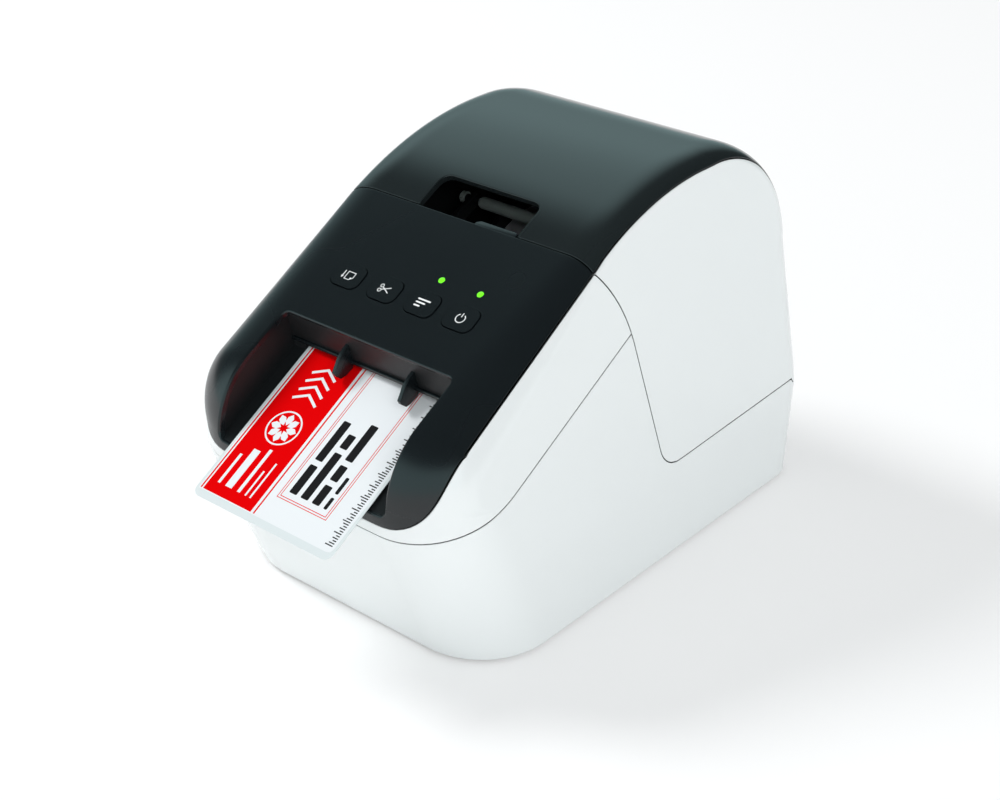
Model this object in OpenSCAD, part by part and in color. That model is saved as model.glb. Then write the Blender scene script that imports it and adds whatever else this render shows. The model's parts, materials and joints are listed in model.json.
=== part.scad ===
/* [Body] */
// Widest width of the body, at the knee of its sides
body_w = 125.2; // [123:0.2:132]
// Depth of the body from the nose to the rear wall
body_d = 204; // [202:0.5:214]
// Height of the crown above the table
body_h = 142; // [141:0.5:148]
// Wall thickness of the moulded shells
wall_t = 2.2; // [1.8:0.1:2.6]
// Angle of the control panel to the table
slope_a = 28.5; // [27.5:0.25:29.5]
// Radius of the nose under the control panel
nose_r = 30; // [28:0.5:32]
// Height of the nose's centre
nose_z = 62.8; // [61:0.2:64]
// Lean of the front wall, which undercuts the nose
front_lean_a = 21; // [18:0.5:23]
// Radius of the long curve from the control panel to the crown
crown_r = 123; // [115:1:130]
// Radius of the curve from the crown to the rear wall
rear_r = 50; // [47:1:53]
// Lean of the rear wall
rear_lean_a = 6.6; // [5:0.2:8]
// Draft of the sides above the knee
side_draft_a = 6.2; // [5:0.1:6.6]
// Plan radius of the front corners
front_corner_r = 27; // [24:0.5:30]
// Plan radius of the rear corners
rear_corner_r = 12.6; // [11:0.2:15]
// Width of the rounded shoulder beside the crown
shoulder_w = 12.5; // [11:0.25:14]
// Drop of the rounded shoulder down to the white side
shoulder_drop = 5.2; // [4.6:0.2:6]

/* [Seams] */
// Gap left at every seam between shells
seam_gap = 0.3; // [0.2:0.05:0.5]
// Height of the seam between cover and base
seam_z = 38.6; // [37.6:0.2:39.6]
// Distance of the panel seam behind the nose
panel_seam_y = 81.4; // [80.4:0.2:82.4]
// Radius of the cover's barrel edge round the hinge axis
hinge_edge_r = 5.4; // [5.2:0.1:5.8]

/* [Label outlet] */
// Width of the outlet recess between the two lobes
mouth_w = 74.8; // [73:0.2:76]
// Distance of the recess's top edge behind the nose
mouth_back = 32.5; // [31.5:0.25:33.5]
// Height of the sill at the front of the recess
sill_z = 63.2; // [62.4:0.2:63.8]
// Slope of the label path
path_a = 30; // [29:0.25:30.5]
// Distance of the outlet slot behind the nose
slot_back = 36; // [35.5:0.25:36.5]
// Depth of the slot under the panel's plane, measured upright
slot_drop = 15.4; // [15:0.1:15.8]

/* [Label] */
// Width of the label
label_w = 62; // [58:0.5:62]
// Distance that the printed label reaches beyond the nose
label_out = 18; // [14:1:24]
// Thickness of the label
label_t = 0.25; // [0.2:0.05:0.3]
// Radius of the label's front corners
label_corner_r = 3; // [2:0.5:4]
// Outer radius of the part-used label roll
roll_r = 29; // [24:0.5:30]

/* [Buttons] */
// Width of a button
button_w = 12.9; // [12:0.1:13.4]
// Height of a button along the panel
button_h = 10.2; // [9:0.1:11]
// Pitch of the buttons
button_pitch = 16.5; // [16:0.1:17.2]
// Distance of the button row behind the nose
button_back = 50; // [49:0.25:50.5]
// Travel of a button
button_travel = 0.8; // [0.6:0.05:1]

/* [Viewing notch] */
// Width of the notch in the cover's front edge
notch_w = 43; // [36:0.5:46]
// Depth of the notch along the cover
notch_d = 15.4; // [12:0.2:17]
// Radius of the notch's inner corners
notch_r = 4; // [2:0.5:5]

/* [Feed drive] */
// Radius of the platen roller
platen_r = 6.5; // [6:0.1:7]
// Radius of the platen shaft
shaft_r = 3; // [2.6:0.1:3.4]
// Module of the feed gears
gear_m = 0.8; // [0.75:0.01:0.82]
// Teeth of the platen gear
platen_teeth = 24; // [22:1:26]
// Teeth of the idler gear
idler_teeth = 40; // [38:1:42]
// Teeth of the motor pinion
pinion_teeth = 14; // [13:1:16]
// Face width of the gears
gear_w = 4.4; // [4:0.1:4.6]
// Radius of the feed motor's can
motor_r = 17; // [15:0.5:17.5]

/* [Hidden] */

// General clearances
fit = 0.05;
slide_gap = 0.3;
cut = 1;
facets = 48;

// Master form
half_w = body_w / 2;
front_y = -body_d / 2;
rear_y = body_d / 2;
mid_y = label_out / 2;
knee_z = 40;
foot_taper = 0.9;
rear_foot_taper = 1.4;
foot_h = 1.2;
nose_c = [front_y + nose_r, nose_z];
slope_dir = [cos(slope_a), sin(slope_a)];
nose_end = nose_c + nose_r * [-sin(slope_a), cos(slope_a)];
slope_len = (body_h - crown_r + crown_r * cos(slope_a) - nose_end.y) / sin(slope_a);
crown_c = nose_end + slope_len * slope_dir - crown_r * [-sin(slope_a), cos(slope_a)];
rear_c = [rear_y - rear_r * cos(rear_lean_a)
          - (body_h - rear_r + rear_r * sin(rear_lean_a) - knee_z) * tan(rear_lean_a),
          body_h - rear_r];
nose_steps = 9;
crown_steps = 5;
rear_steps = 8;
corner_steps = 6;
side_reach = half_w + 8;

function slope_z(y) = nose_end.y + (y - nose_end.x) * tan(slope_a);
function half_at(z) = z < knee_z
    ? half_w - foot_taper * (knee_z - z) / knee_z
    : half_w - (z - knee_z) * tan(side_draft_a);
function unit(v) = v / norm(v);
function mix(a, b, t) = a + (b - a) * t;
// Points of an arc that rounds corner b of the path a, b, c
function corner(a, b, c, r, n = 5) =
    let (u = unit(a - b), v = unit(c - b), half = acos(u * v) / 2,
         q = b + unit(u + v) * r / sin(half),
         s = b + u * r / tan(half) - q, e = b + v * r / tan(half) - q,
         from = atan2(s.y, s.x), turn = (atan2(e.y, e.x) - from + 540) % 360 - 180)
    [for (k = [0:n]) q + r * [cos(from + turn * k / n), sin(from + turn * k / n)]];

// One station of the side profile: point, outward direction as an angle up from the front,
// width and depth of the corner that leads to the side
function arc_station(c, r, a, w, d) = [c + r * [-cos(a), sin(a)], a, w, d];
nose_share = [for (k = [0:nose_steps]) k / nose_steps];
nose_stations = [for (s = nose_share)
    let (a = mix(-front_lean_a, 90 - slope_a, s), t = max(0, (s - 0.35) / 0.65))
    arc_station(nose_c, nose_r, a, mix(front_corner_r, shoulder_w, t),
                mix(front_corner_r, shoulder_drop, pow(t, 0.6)))];
crown_stations = [for (k = [0:crown_steps])
    arc_station(crown_c, crown_r, mix(90 - slope_a, 90, k / crown_steps), shoulder_w,
                shoulder_drop)];
rear_stations = [for (k = [0:rear_steps])
    let (t = k / rear_steps)
    arc_station(rear_c, rear_r, mix(90, 180 - rear_lean_a, t), shoulder_w,
                mix(shoulder_drop, rear_corner_r, pow(t, 3)))];
front_foot = [nose_stations[0][0].x + nose_stations[0][0].y * tan(front_lean_a), 0];
wall_low = [[front_foot, -front_lean_a, front_corner_r, front_corner_r]];
wall_rear = [[[rear_y, knee_z], 180 - rear_lean_a / 2, rear_corner_r, rear_corner_r],
             [[rear_y - rear_foot_taper, 0], 180, rear_corner_r, rear_corner_r]];
stations = concat(wall_low, nose_stations, crown_stations, rear_stations, wall_rear);

function out_dir(a) = [-cos(a), sin(a)];
function corner_dir(a) = a < 0 ? [-1, 0] : a > 180 - rear_lean_a - 0.1 ? [1, 0] : out_dir(a);
// Point of a station, moved inward by t
function station_in(s, t) =
    let (p = s[0] - out_dir(s[1]) * t)
    s[0].y == 0 ? [p.x, s[0].y - cut * sign(t)] : p;
// Point on the border between crown and side, at a station moved inward by t
function border_in(s, t, more = 0) = station_in(s, t) - corner_dir(s[1]) * (max(s[3] - t, 1) + more);

function ring(s, t) =
    let (p = station_in(s, t), d = corner_dir(s[1]), w = max(s[2] - t, 1), h = max(s[3] - t, 1),
         b = p - d * h, x = half_at(b.y) - t + fit,
         half = [for (k = [0:corner_steps])
                 let (a = 90 * k / corner_steps, q = p - d * h * (1 - cos(a)))
                 [x - w * (1 - sin(a)), q.x, q.y]])
    concat([[-side_reach, b.x, b.y]],
           [for (k = [corner_steps:-1:0]) [-half[k].x, half[k].y, half[k].z]],
           half, [[side_reach, b.x, b.y]]);

// The whole body moved inward by t, before its drafted sides are cut: a chain of convex wedges
// from one station to the next, which meet along a line inside the body
module body_loft(t) {
    heart = [rear_c.x, knee_z];
    core = [for (x = [-side_reach, side_reach]) [x, heart.x, heart.y]];
    for (i = [0:len(stations) - 2]) {
        pts = concat(ring(stations[i], t), ring(stations[i + 1], t), core);
        hull() polyhedron(points = pts, faces = [[for (k = [0:len(pts) - 1]) k]]);
    }
    low = concat(ring(stations[0], t), ring(stations[len(stations) - 1], t), core);
    hull() polyhedron(points = low, faces = [[for (k = [0:len(low) - 1]) k]]);
}

// A side outline, drawn in Y and Z, drawn out across the whole width
module across(points, w = 2 * side_reach, x = 0) {
    translate([x - w / 2, 0, 0]) rotate([90, 0, 90]) linear_extrude(w) polygon(points);
}

// A front outline, drawn in X and Z, drawn out along the whole depth
module along(points) {
    translate([0, body_d, 0]) rotate([90, 0, 0]) linear_extrude(2 * body_d) polygon(points);
}

module form(t) {
    low = -cut;
    high = body_h + cut;
    intersection() {
        body_loft(t);
        along([[-half_at(low) + t, low], [half_at(low) - t, low], [half_w - t, knee_z],
               [half_at(high) - t, high], [-half_at(high) + t, high], [-half_w + t, knee_z]]);
    }
}

module skin() {
    difference() {
        form(0);
        form(wall_t);
    }
}

module place() {
    translate([0, mid_y, 0]) children();
}

// Hinge axis of the cover, and the outline of all that swings with it
hinge_axis = [rear_y - hinge_edge_r, seam_z + hinge_edge_r];
panel_seam = [front_y + panel_seam_y, slope_z(front_y + panel_seam_y)];
seam_top_a = 36.5;
seam_steep_a = 14;
seam_knee = [front_y + 97.2, 101];
seam_knee_r = 25;
seam_foot_r = 10;
seam_head = panel_seam + shoulder_drop * [sin(slope_a), -cos(slope_a)];
seam_foot = [seam_knee.x + (seam_knee.y - seam_z) * tan(seam_steep_a), seam_z];
above = body_h + 20;
beyond = rear_y + 20;
cover_zone = concat(
    [panel_seam + 20 * [-sin(slope_a), cos(slope_a)], panel_seam, seam_head],
    corner(seam_head, seam_knee, seam_foot, seam_knee_r),
    corner(seam_knee, seam_foot, hinge_axis - [0, hinge_edge_r], seam_foot_r),
    [for (k = [0:6]) hinge_axis + hinge_edge_r * [sin(15 * k), -cos(15 * k)]],
    [[beyond, hinge_axis.y], [beyond, above], [panel_seam.x, above]]);

// Seam between the white front bezel and the base
bezel_join = [seam_knee.x + 6 * tan(seam_steep_a), seam_knee.y - 6];
bezel_bend = [front_y + 32, 62.3];
bezel_bend_r = 40;
bezel_front = [front_y - 4, 53.6];
bezel_zone = concat(
    [[bezel_join.x + 20, above], bezel_join + [20, 10]],
    corner(bezel_join + [20, 10], bezel_bend, bezel_front, bezel_bend_r, 4),
    [bezel_front + [-20, -4], [front_y - 24, above]]);

// The black crown: all that lies outside the border curve
border_more = 0.4;
crown_back_z = rear_c.y + rear_r * sin(rear_lean_a) + 1.5;
crown_border = [for (s = concat(crown_stations, [for (k = [0:rear_steps - 1]) rear_stations[k]]))
                border_in(s, 0, border_more)];
crown_zone = concat(
    crown_border,
    [[crown_border[len(crown_border) - 1].x + 1, crown_back_z], [beyond, crown_back_z],
     [beyond, above], [front_y - 24, above], panel_seam + [-20, 0]]);
nose_border = border_in(nose_stations[nose_steps], 0, border_more);
black_low_z = 59.4;
front_black_side = concat(
    [nose_border, nose_border + [6, -14], [nose_border.x + 10, black_low_z],
     [front_y - 24, black_low_z], [front_y - 24, above], [crown_c.x, above]],
    [border_in(crown_stations[1], 0, border_more), border_in(crown_stations[0], 0, border_more)]);
lobe_foot_x = 51.4 ;
lobe_low_z = 73.2;
lobe_low_r = 14;
lobe_out = [side_reach, lobe_low_z + (side_reach - lobe_foot_x) * 3.9];
lobe_low = [lobe_foot_x - 3, black_low_z];
front_black_half = concat([lobe_out], corner(lobe_out, lobe_low, [0, black_low_z], lobe_low_r));
front_black_face = concat([[side_reach, above]], front_black_half,
    [for (k = [len(front_black_half) - 1:-1:0]) [-front_black_half[k].x, front_black_half[k].y]],
    [[-side_reach, above]]);

// Label path: a frame whose X runs down the path and whose Z stands square to it
slot = [front_y + slot_back, slope_z(front_y + slot_back) - slot_drop];
function path_z(y) = slot.y + (y - slot.x) * tan(path_a);
nip_y = front_y + 73;
cut_y = front_y + 50;
module on_path(y) {
    translate([0, y, path_z(y)]) rotate([path_a, 0, 0]) children();
}
module on_panel(x, y) {
    translate([x, y, slope_z(y)]) rotate([slope_a, 0, 0]) children();
}

// A plate of the box kind, centred in X, from y to y + d and z to z + h
module block(w, y, d, z, h, x = 0) {
    translate([x - w / 2, y, z]) cube([w, d, h]);
}
// A round bar along X, from x to x + l
module bar(r, x, l, y, z) {
    translate([x, y, z]) rotate([0, 90, 0]) cylinder(r = r, h = l, $fn = facets);
}

// Outlet recess
mouth_x = mouth_w / 2;
mouth_top = [front_y + mouth_back, slope_z(front_y + mouth_back)];
jaw_top = 1.9;
jaw_low = 0.8;
chute_t = 1.8;
mouth_zone = [
    mouth_top, [slot.x, slot.y + jaw_top], [slot.x, slot.y - jaw_low],
    [front_y + 1, sill_z + 0.6], [front_y - 24, sill_z - 14], [front_y - 24, above],
    mouth_top + 40 * [-sin(slope_a), cos(slope_a)]];
chute_zone = [
    mouth_top + [chute_t, 0], [slot.x + chute_t, slot.y + jaw_top],
    [slot.x + chute_t, slot.y - jaw_low - chute_t], [front_y + 1, sill_z - chute_t - 0.6],
    [front_y - 24, sill_z - 16], [front_y - 24, above], mouth_top + [10, 40]];

module black_front_zone(grow) {
    intersection() {
        rotate([90, 0, 90]) translate([0, 0, -side_reach]) linear_extrude(2 * side_reach)
            offset(delta = grow) polygon(front_black_side);
        translate([0, body_d, 0]) rotate([90, 0, 0]) linear_extrude(2 * body_d)
            offset(delta = grow) polygon(front_black_face);
    }
}

module bezel_skin() {
    difference() {
        intersection() {
            skin();
            across(bezel_zone);
        }
        rotate([90, 0, 90]) translate([0, 0, -side_reach]) linear_extrude(2 * side_reach)
            offset(delta = seam_gap) polygon(cover_zone);
    }
}

module front_panel() {
    color([0.13, 0.15, 0.17]) place() difference() {
        union() {
            intersection() {
                bezel_skin();
                black_front_zone(0);
            }
            intersection() {
                form(0);
                difference() {
                    across(chute_zone, mouth_w + 2 * chute_t);
                    across(mouth_zone, mouth_w);
                }
                black_front_zone(0);
            }
        }
        across(mouth_zone, mouth_w);
        on_path(slot.x) translate([0, 0, jaw_top / 2 - jaw_low / 2])
            cube([label_w + 4 * slide_gap, 8 * chute_t, jaw_top + jaw_low], center = true);
        for (i = [0:3]) on_panel(button_x(i), button_y) button_hole();
        for (x = lens_x) on_panel(x, lens_y) cylinder(r = lens_r + fit, h = 4 * wall_t, center = true, $fn = 24);
    }
}

module front_bezel() {
    color("white") place() difference() {
        bezel_skin();
        black_front_zone(seam_gap / 2);
        across(chute_zone, mouth_w + 2 * chute_t + seam_gap);
    }
}

// Buttons and lenses
button_y = front_y + button_back;
button_r = 3;
button_gap = 0.25;
button_flange_t = 0.8;
button_flange = 1;
button_proud = 0.2;
lens_x = [button_pitch / 2, 3 * button_pitch / 2];
lens_y = button_y + 9.3;
lens_r = 1.6;
function button_x(i) = (i - 1.5) * button_pitch;

function pad_shape(w, h, r) = concat(
    corner([0, -h / 2], [w / 2, -h / 2], [w / 2, 0], r), corner([w / 2, 0], [w / 2, h / 2], [0, h / 2], r),
    corner([0, h / 2], [-w / 2, h / 2], [-w / 2, 0], r), corner([-w / 2, 0], [-w / 2, -h / 2], [0, -h / 2], r));
module pad(w, h, r, t) {
    linear_extrude(t) polygon(pad_shape(w, h, r));
}
module button_hole() {
    translate([0, 0, -2 * wall_t])
        pad(button_w + 2 * button_gap, button_h + 2 * button_gap, button_r + button_gap, 4 * wall_t);
}
board_t = 1.2;
switch_h = 2;
switch_w = 6;
stem_w = 3;
// Levels below the panel's plane
flange_top = -wall_t - slide_gap / 2;
stem_end = flange_top - button_flange_t - 0.3;
switch_top = stem_end - button_travel - slide_gap / 3;
board_top = switch_top - switch_h;
module button(i) {
    place() on_panel(button_x(i), button_y) {
        translate([0, 0, flange_top]) pad(button_w, button_h, button_r, button_proud - flange_top);
        translate([0, 0, flange_top - button_flange_t])
            pad(button_w + 2 * button_flange, button_h + 2 * button_flange, button_r + button_flange,
                button_flange_t);
        translate([-stem_w / 2, -stem_w / 2, stem_end]) cube([stem_w, stem_w, flange_top - stem_end]);
    }
}
module button_feed() {
    color([0.13, 0.15, 0.17]) button(0);
}
module button_cut() {
    color([0.13, 0.15, 0.17]) button(1);
}
module button_custom() {
    color([0.13, 0.15, 0.17]) button(2);
}
module button_power() {
    color([0.13, 0.15, 0.17]) button(3);
}
module status_lenses() {
    color([0.3, 0.9, 0.1]) place() for (x = lens_x) on_panel(x, lens_y) {
        translate([0, 0, board_top + fit]) cylinder(r = lens_r, h = -board_top - fit, $fn = 24);
        intersection() {
            sphere(r = lens_r, $fn = 24);
            translate([0, 0, lens_r / 4]) cube([2 * lens_r, 2 * lens_r, lens_r / 2], center = true);
        }
    }
}
board_w = 4 * button_pitch + 4;
board_h = button_h + 9.6;
module button_board() {
    color([0.1, 0.4, 0.2]) place() on_panel(0, button_y) {
        translate([-board_w / 2, -board_h / 2 + 2.8, board_top - board_t]) cube([board_w, board_h, board_t]);
        for (i = [0:3]) translate([button_x(i) - switch_w / 2, -switch_w / 2, board_top])
            cube([switch_w, switch_w, switch_h]);
    }
}
// Two fins over the label, on the upper jaw of the slot
fin_x = [-10.5, 18.5];
fin_t = 1.6;
fin_shape = [[slot.x - fit, slot.y + jaw_top + 6], [slot.x - 2.4, slot.y + jaw_top + 5.6],
             [slot.x - 7.8, slot.y + 1.7], [slot.x - 7.2, slot.y - 1.2],
             [slot.x - 5.5, slot.y - 1.6], [slot.x - fit, slot.y + jaw_top]];
module label_guides() {
    color([0.1, 0.11, 0.13]) place() {
        for (x = fin_x) across(fin_shape, fin_t, x);
        block(mouth_w - 2 * slide_gap, slot.x - 1.4, 1.4 - fit, slot.y + jaw_top, 1.2);
    }
}

// Cover
module cover_skin() {
    intersection() {
        skin();
        across(cover_zone);
    }
}
module cover_shell() {
    color([0.16, 0.19, 0.2]) place() difference() {
        intersection() {
            cover_skin();
            across(crown_zone);
        }
        on_panel(0, panel_seam.x) translate([0, 0, -shoulder_drop]) {
            pad(notch_w, 2 * notch_d, notch_r, 2 * shoulder_drop);
        }
    }
}
module cover_frame() {
    color("white") place() difference() {
        cover_skin();
        rotate([90, 0, 90]) translate([0, 0, -side_reach]) linear_extrude(2 * side_reach)
            offset(delta = seam_gap / 2) polygon(crown_zone);
    }
}

// Hinge: arms on the cover, brackets on the chassis, and two pins
hinge_pin_r = 1.4;
eye_r = 2.4;
arm_x = 42;
arm_w = 6;
ear_w = 4;
ear_gap = 0.4;
arm_h = 14;
wall_in = rear_y - wall_t - 0.48;
module cover_hinge_arms() {
    color("white") place() for (s = [-1, 1]) difference() {
        union() {
            bar(eye_r, s * arm_x - arm_w / 2, arm_w, hinge_axis.x, hinge_axis.y);
            intersection() {
                block(arm_w, wall_in - 2 * eye_r, 2 * eye_r, hinge_axis.y, arm_h, s * arm_x);
                across([[wall_in, hinge_axis.y], [wall_in - arm_h * tan(rear_lean_a), hinge_axis.y + arm_h],
                        [wall_in - arm_h * tan(rear_lean_a) - eye_r, hinge_axis.y + arm_h],
                        [hinge_axis.x - eye_r, hinge_axis.y]]);
            }
        }
        bar(hinge_pin_r + fit, s * arm_x - arm_w, 2 * arm_w, hinge_axis.x, hinge_axis.y);
    }
}
ear_x = arm_w / 2 + ear_gap + ear_w / 2;
bracket_y = rear_y - 13;
bracket_t = 3;
pan_t = 2.6;
floor_z = foot_h + pan_t;
module hinge_brackets() {
    color([0.2, 0.2, 0.22]) place() for (s = [-1, 1]) difference() {
        union() {
            for (e = [-1, 1]) {
                bar(eye_r, s * arm_x + e * ear_x - ear_w / 2, ear_w, hinge_axis.x, hinge_axis.y);
                block(ear_w, bracket_y, hinge_axis.x - bracket_y, hinge_axis.y - 1, eye_r + 1,
                      s * arm_x + e * ear_x);
            }
            block(2 * ear_x + ear_w, bracket_y, bracket_t, floor_z, hinge_axis.y + eye_r - floor_z,
                  s * arm_x);
        }
        bar(hinge_pin_r + fit, s * arm_x - 3 * arm_w, 6 * arm_w, hinge_axis.x, hinge_axis.y);
    }
}
module hinge_pins() {
    pin_l = 2 * ear_x + ear_w;
    color("silver") place() for (s = [-1, 1])
        bar(hinge_pin_r, s * arm_x - pin_l / 2, pin_l, hinge_axis.x, hinge_axis.y);
}

// Base
inlet_x = 20;
inlet_w = 24;
inlet_h = 16;
inlet_z = 12;
usb_x = -20;
usb_w = 12;
usb_h = 10.8;
board_z = 12;
usb_z = board_z + 1.6;
module base_housing() {
    color("white") place() difference() {
        union() {
            intersection() {
                skin();
                block(2 * side_reach, front_y - 20, body_d + 40, foot_h, body_h);
            }
            for (p = screw_at) {
                translate([p.x, p.y, floor_z + fit]) cylinder(r = boss_r, h = boss_h, $fn = 32);
                block(half_w - wall_t / 2 - abs(p.x), p.y - boss_rib_t / 2, boss_rib_t, floor_z + fit, boss_h,
                      sign(p.x) * (half_w - wall_t / 2 + abs(p.x)) / 2);
            }
        }
        for (p = screw_at) translate([p.x, p.y, 0]) cylinder(r = screw_r - fit, h = floor_z + boss_h - 2, $fn = 24);
        rotate([90, 0, 90]) translate([0, 0, -side_reach]) linear_extrude(2 * side_reach)
            offset(delta = seam_gap) polygon(cover_zone);
        rotate([90, 0, 90]) translate([0, 0, -side_reach]) linear_extrude(2 * side_reach)
            offset(delta = seam_gap) polygon(bezel_zone);
        block(2 * side_reach, seam_foot.x, body_d, seam_z - seam_gap, body_h);
        block(inlet_w + 2 * slide_gap, rear_y - 10, 20, inlet_z - slide_gap, inlet_h + 2 * slide_gap, inlet_x);
        block(usb_w + 2 * slide_gap, rear_y - 10, 20, usb_z - slide_gap, usb_h + 2 * slide_gap, usb_x);
    }
}

// Bottom pan, feet and screws
pan_gap = 0.4;
pan_x = half_at(0) - wall_t - pan_gap;
pan_front = front_foot.x + wall_t / cos(front_lean_a) + pan_gap;
pan_rear = rear_y - rear_foot_taper - wall_t - pan_gap;
pan_side = front_corner_r - wall_t;
pan_back = rear_corner_r - wall_t;
screw_at = [[51, -44], [51, 66], [-51, -44], [-51, 66]];
foot_at = [[42, -58], [48, 84], [-42, -58], [-48, 84]];
foot_r = 6;
foot_seat = 1;
screw_r = 1.5;
screw_head_r = 2.8;
boss_r = 3.4;
boss_rib_t = 2;
boss_h = 14;
stand_at = [[-29, -16], [-29, 84], [1, -16], [1, 90], [11, -36], [37, -36], [11, 70], [37, 70], [20, 84]];
stand_r = 3;
module base_pan() {
    shape = concat(
        corner([0, pan_front], [pan_x, pan_front], [pan_x, 0], pan_side),
        corner([pan_x, 0], [pan_x, pan_rear], [0, pan_rear], pan_back),
        corner([0, pan_rear], [-pan_x, pan_rear], [-pan_x, 0], pan_back),
        corner([-pan_x, 0], [-pan_x, pan_front], [0, pan_front], pan_side));
    color([0.2, 0.21, 0.23]) place() difference() {
        union() {
            translate([0, 0, foot_h]) linear_extrude(pan_t) polygon(shape);
            for (p = stand_at) translate([p.x, p.y, floor_z - fit]) cylinder(r = stand_r, h = board_z - floor_z + fit, $fn = 32);
        }
        for (p = foot_at) translate([p.x, p.y, foot_h - cut]) cylinder(r = foot_r + fit, h = foot_seat + cut, $fn = 48);
        for (p = screw_at) translate([p.x, p.y, 0]) {
            cylinder(r = screw_r + slide_gap, h = 3 * boss_h, $fn = 24);
            cylinder(r = screw_head_r + slide_gap, h = foot_h + pan_t / 2, $fn = 24);
        }
    }
}
module rubber_feet() {
    color([0.12, 0.12, 0.12]) place() for (p = foot_at) translate([p.x, p.y, 0])
        cylinder(r = foot_r, h = foot_h + foot_seat, $fn = 48);
}
module case_screws() {
    color("silver") place() for (p = screw_at) translate([p.x, p.y, foot_h + fit]) {
        cylinder(r = screw_head_r, h = pan_t / 2 - fit, $fn = 24);
        cylinder(r = screw_r - 2 * fit, h = pan_t + boss_h - 4, $fn = 24);
    }
}

// Side frames carry the roll, the rollers and the gears
frame_x = 44.5;
frame_t = 2;
frame_in = 8.5;
roll_c = [rear_y - 52, 70];
platen_c = [nip_y + platen_r * sin(path_a), path_z(nip_y) - (platen_r + label_t / 2) * cos(path_a)];
bush_r = 4.5;
lever_c = [front_y + 107, 103];
lever_pin_r = 2;
motor_c = [front_y + 70, 58];
pinion_r = pinion_teeth * gear_m / 2;
idler_r = idler_teeth * gear_m / 2;
platen_gear_r = platen_teeth * gear_m / 2;
// The idler sits where its distances to pinion and platen gear are both right
idler_a = pinion_r + idler_r;
idler_b = platen_gear_r + idler_r;
idler_base = norm(platen_c - motor_c);
idler_along = (idler_a * idler_a - idler_b * idler_b + idler_base * idler_base) / (2 * idler_base);
idler_side = sqrt(idler_a * idler_a - idler_along * idler_along);
idler_u = unit(platen_c - motor_c);
idler_c = motor_c + idler_along * idler_u + idler_side * [idler_u.y, -idler_u.x];
stud_r = 2;
head_pivot_at = [-15, 5.2];
head_pivot_r = 1.5;
function on_path_yz(y, a, b) = [y, path_z(y)] + a * [cos(path_a), sin(path_a)] + b * [-sin(path_a), cos(path_a)];
head_pivot_c = on_path_yz(nip_y, -head_pivot_at.x, head_pivot_at.y);
frame_front = front_y + 40;
frame_rear = rear_y - 14;
frame_outline = concat(
    [[frame_front, floor_z], [frame_rear, floor_z],
     [frame_rear, rear_c.y]],
    [for (k = [0:5]) rear_c + (rear_r - frame_in) * [cos(12 + 15.6 * k), sin(12 + 15.6 * k)]],
    [for (k = [0:3]) crown_c + (crown_r - frame_in) * [-sin(slope_a * k / 3), cos(slope_a * k / 3)]],
    [nose_end + [10, -frame_in], [frame_front, nose_end.y - frame_in - 2]]);
module side_frame(s) {
    place() difference() {
        across(frame_outline, frame_t, s * (frame_x + frame_t / 2));
        bar(bush_r + fit, s * frame_x - 4 * frame_t, 8 * frame_t, platen_c.x, platen_c.y);
        bar(lever_pin_r + fit, s * frame_x - 4 * frame_t, 8 * frame_t, lever_c.x, lever_c.y);
        bar(head_pivot_r + fit, s * frame_x - 4 * frame_t, 8 * frame_t, head_pivot_c.x, head_pivot_c.y);
        if (s < 0) {
            bar(motor_boss_r + fit, s * frame_x - 4 * frame_t, 8 * frame_t, motor_c.x, motor_c.y);
            bar(stud_r + fit, s * frame_x - 4 * frame_t, 8 * frame_t, idler_c.x, idler_c.y);
        }
    }
}
module side_frame_left() {
    color([0.55, 0.57, 0.6]) side_frame(-1);
}
module side_frame_right() {
    color([0.55, 0.57, 0.6]) side_frame(1);
}

// Roll compartment
tub_r = 40;
tub_t = 2;
tub_from = 178;
tub_to = 352;
tub_steps = 20;
tub_x = frame_x - slide_gap;
function polar(c, r, a) = c + r * [cos(a), sin(a)];
module roll_tub() {
    shape = concat(
        [for (k = [0:tub_steps]) polar(roll_c, tub_r, mix(tub_from, tub_to, k / tub_steps))],
        [for (k = [tub_steps:-1:0]) polar(roll_c, tub_r + tub_t, mix(tub_from, tub_to, k / tub_steps))]);
    color([0.16, 0.17, 0.19]) place() {
        across(shape, 2 * tub_x);
    }
}
flange_r = 34;
flange_t = 2;
hub_r = 12;
arm_r = 6;
spool_arm = 6;
flange_x = label_w / 2 + slide_gap;
guide_t = 2.5;
guide_x = flange_x + flange_t + slide_gap;
module spool_guides() {
    color([0.16, 0.17, 0.19]) place() for (s = [-1, 1]) difference() {
        intersection() {
            block(guide_t, roll_c.x - 14, 28, roll_c.y - tub_r, tub_r + 6, s * (guide_x + guide_t / 2));
            bar(tub_r - slide_gap, s * guide_x - 4 * guide_t, 8 * guide_t, roll_c.x, roll_c.y);
        }
        bar(arm_r + fit, s * guide_x - 4 * guide_t, 8 * guide_t, roll_c.x, roll_c.y);
        block(4 * guide_t, roll_c.x - arm_r - fit, 2 * (arm_r + fit), roll_c.y, tub_r, s * guide_x);
    }
}
module spool_hub() {
    color([0.1, 0.1, 0.11]) place() difference() {
        union() {
            bar(flange_r, -flange_x - flange_t, flange_t, roll_c.x, roll_c.y);
            bar(hub_r, -flange_x - fit, 2 * flange_x, roll_c.x, roll_c.y);
            bar(arm_r, -flange_x - flange_t - spool_arm, spool_arm + fit, roll_c.x, roll_c.y);
        }
        bar(hub_r - 2, -flange_x + 2, 3 * flange_x, roll_c.x, roll_c.y);
        for (k = [0:2]) translate([0, roll_c.x, roll_c.y]) rotate([120 * k + 30, 0, 0])
            bar(6, -2 * flange_x, flange_x, 0, 22);
    }
}
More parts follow.
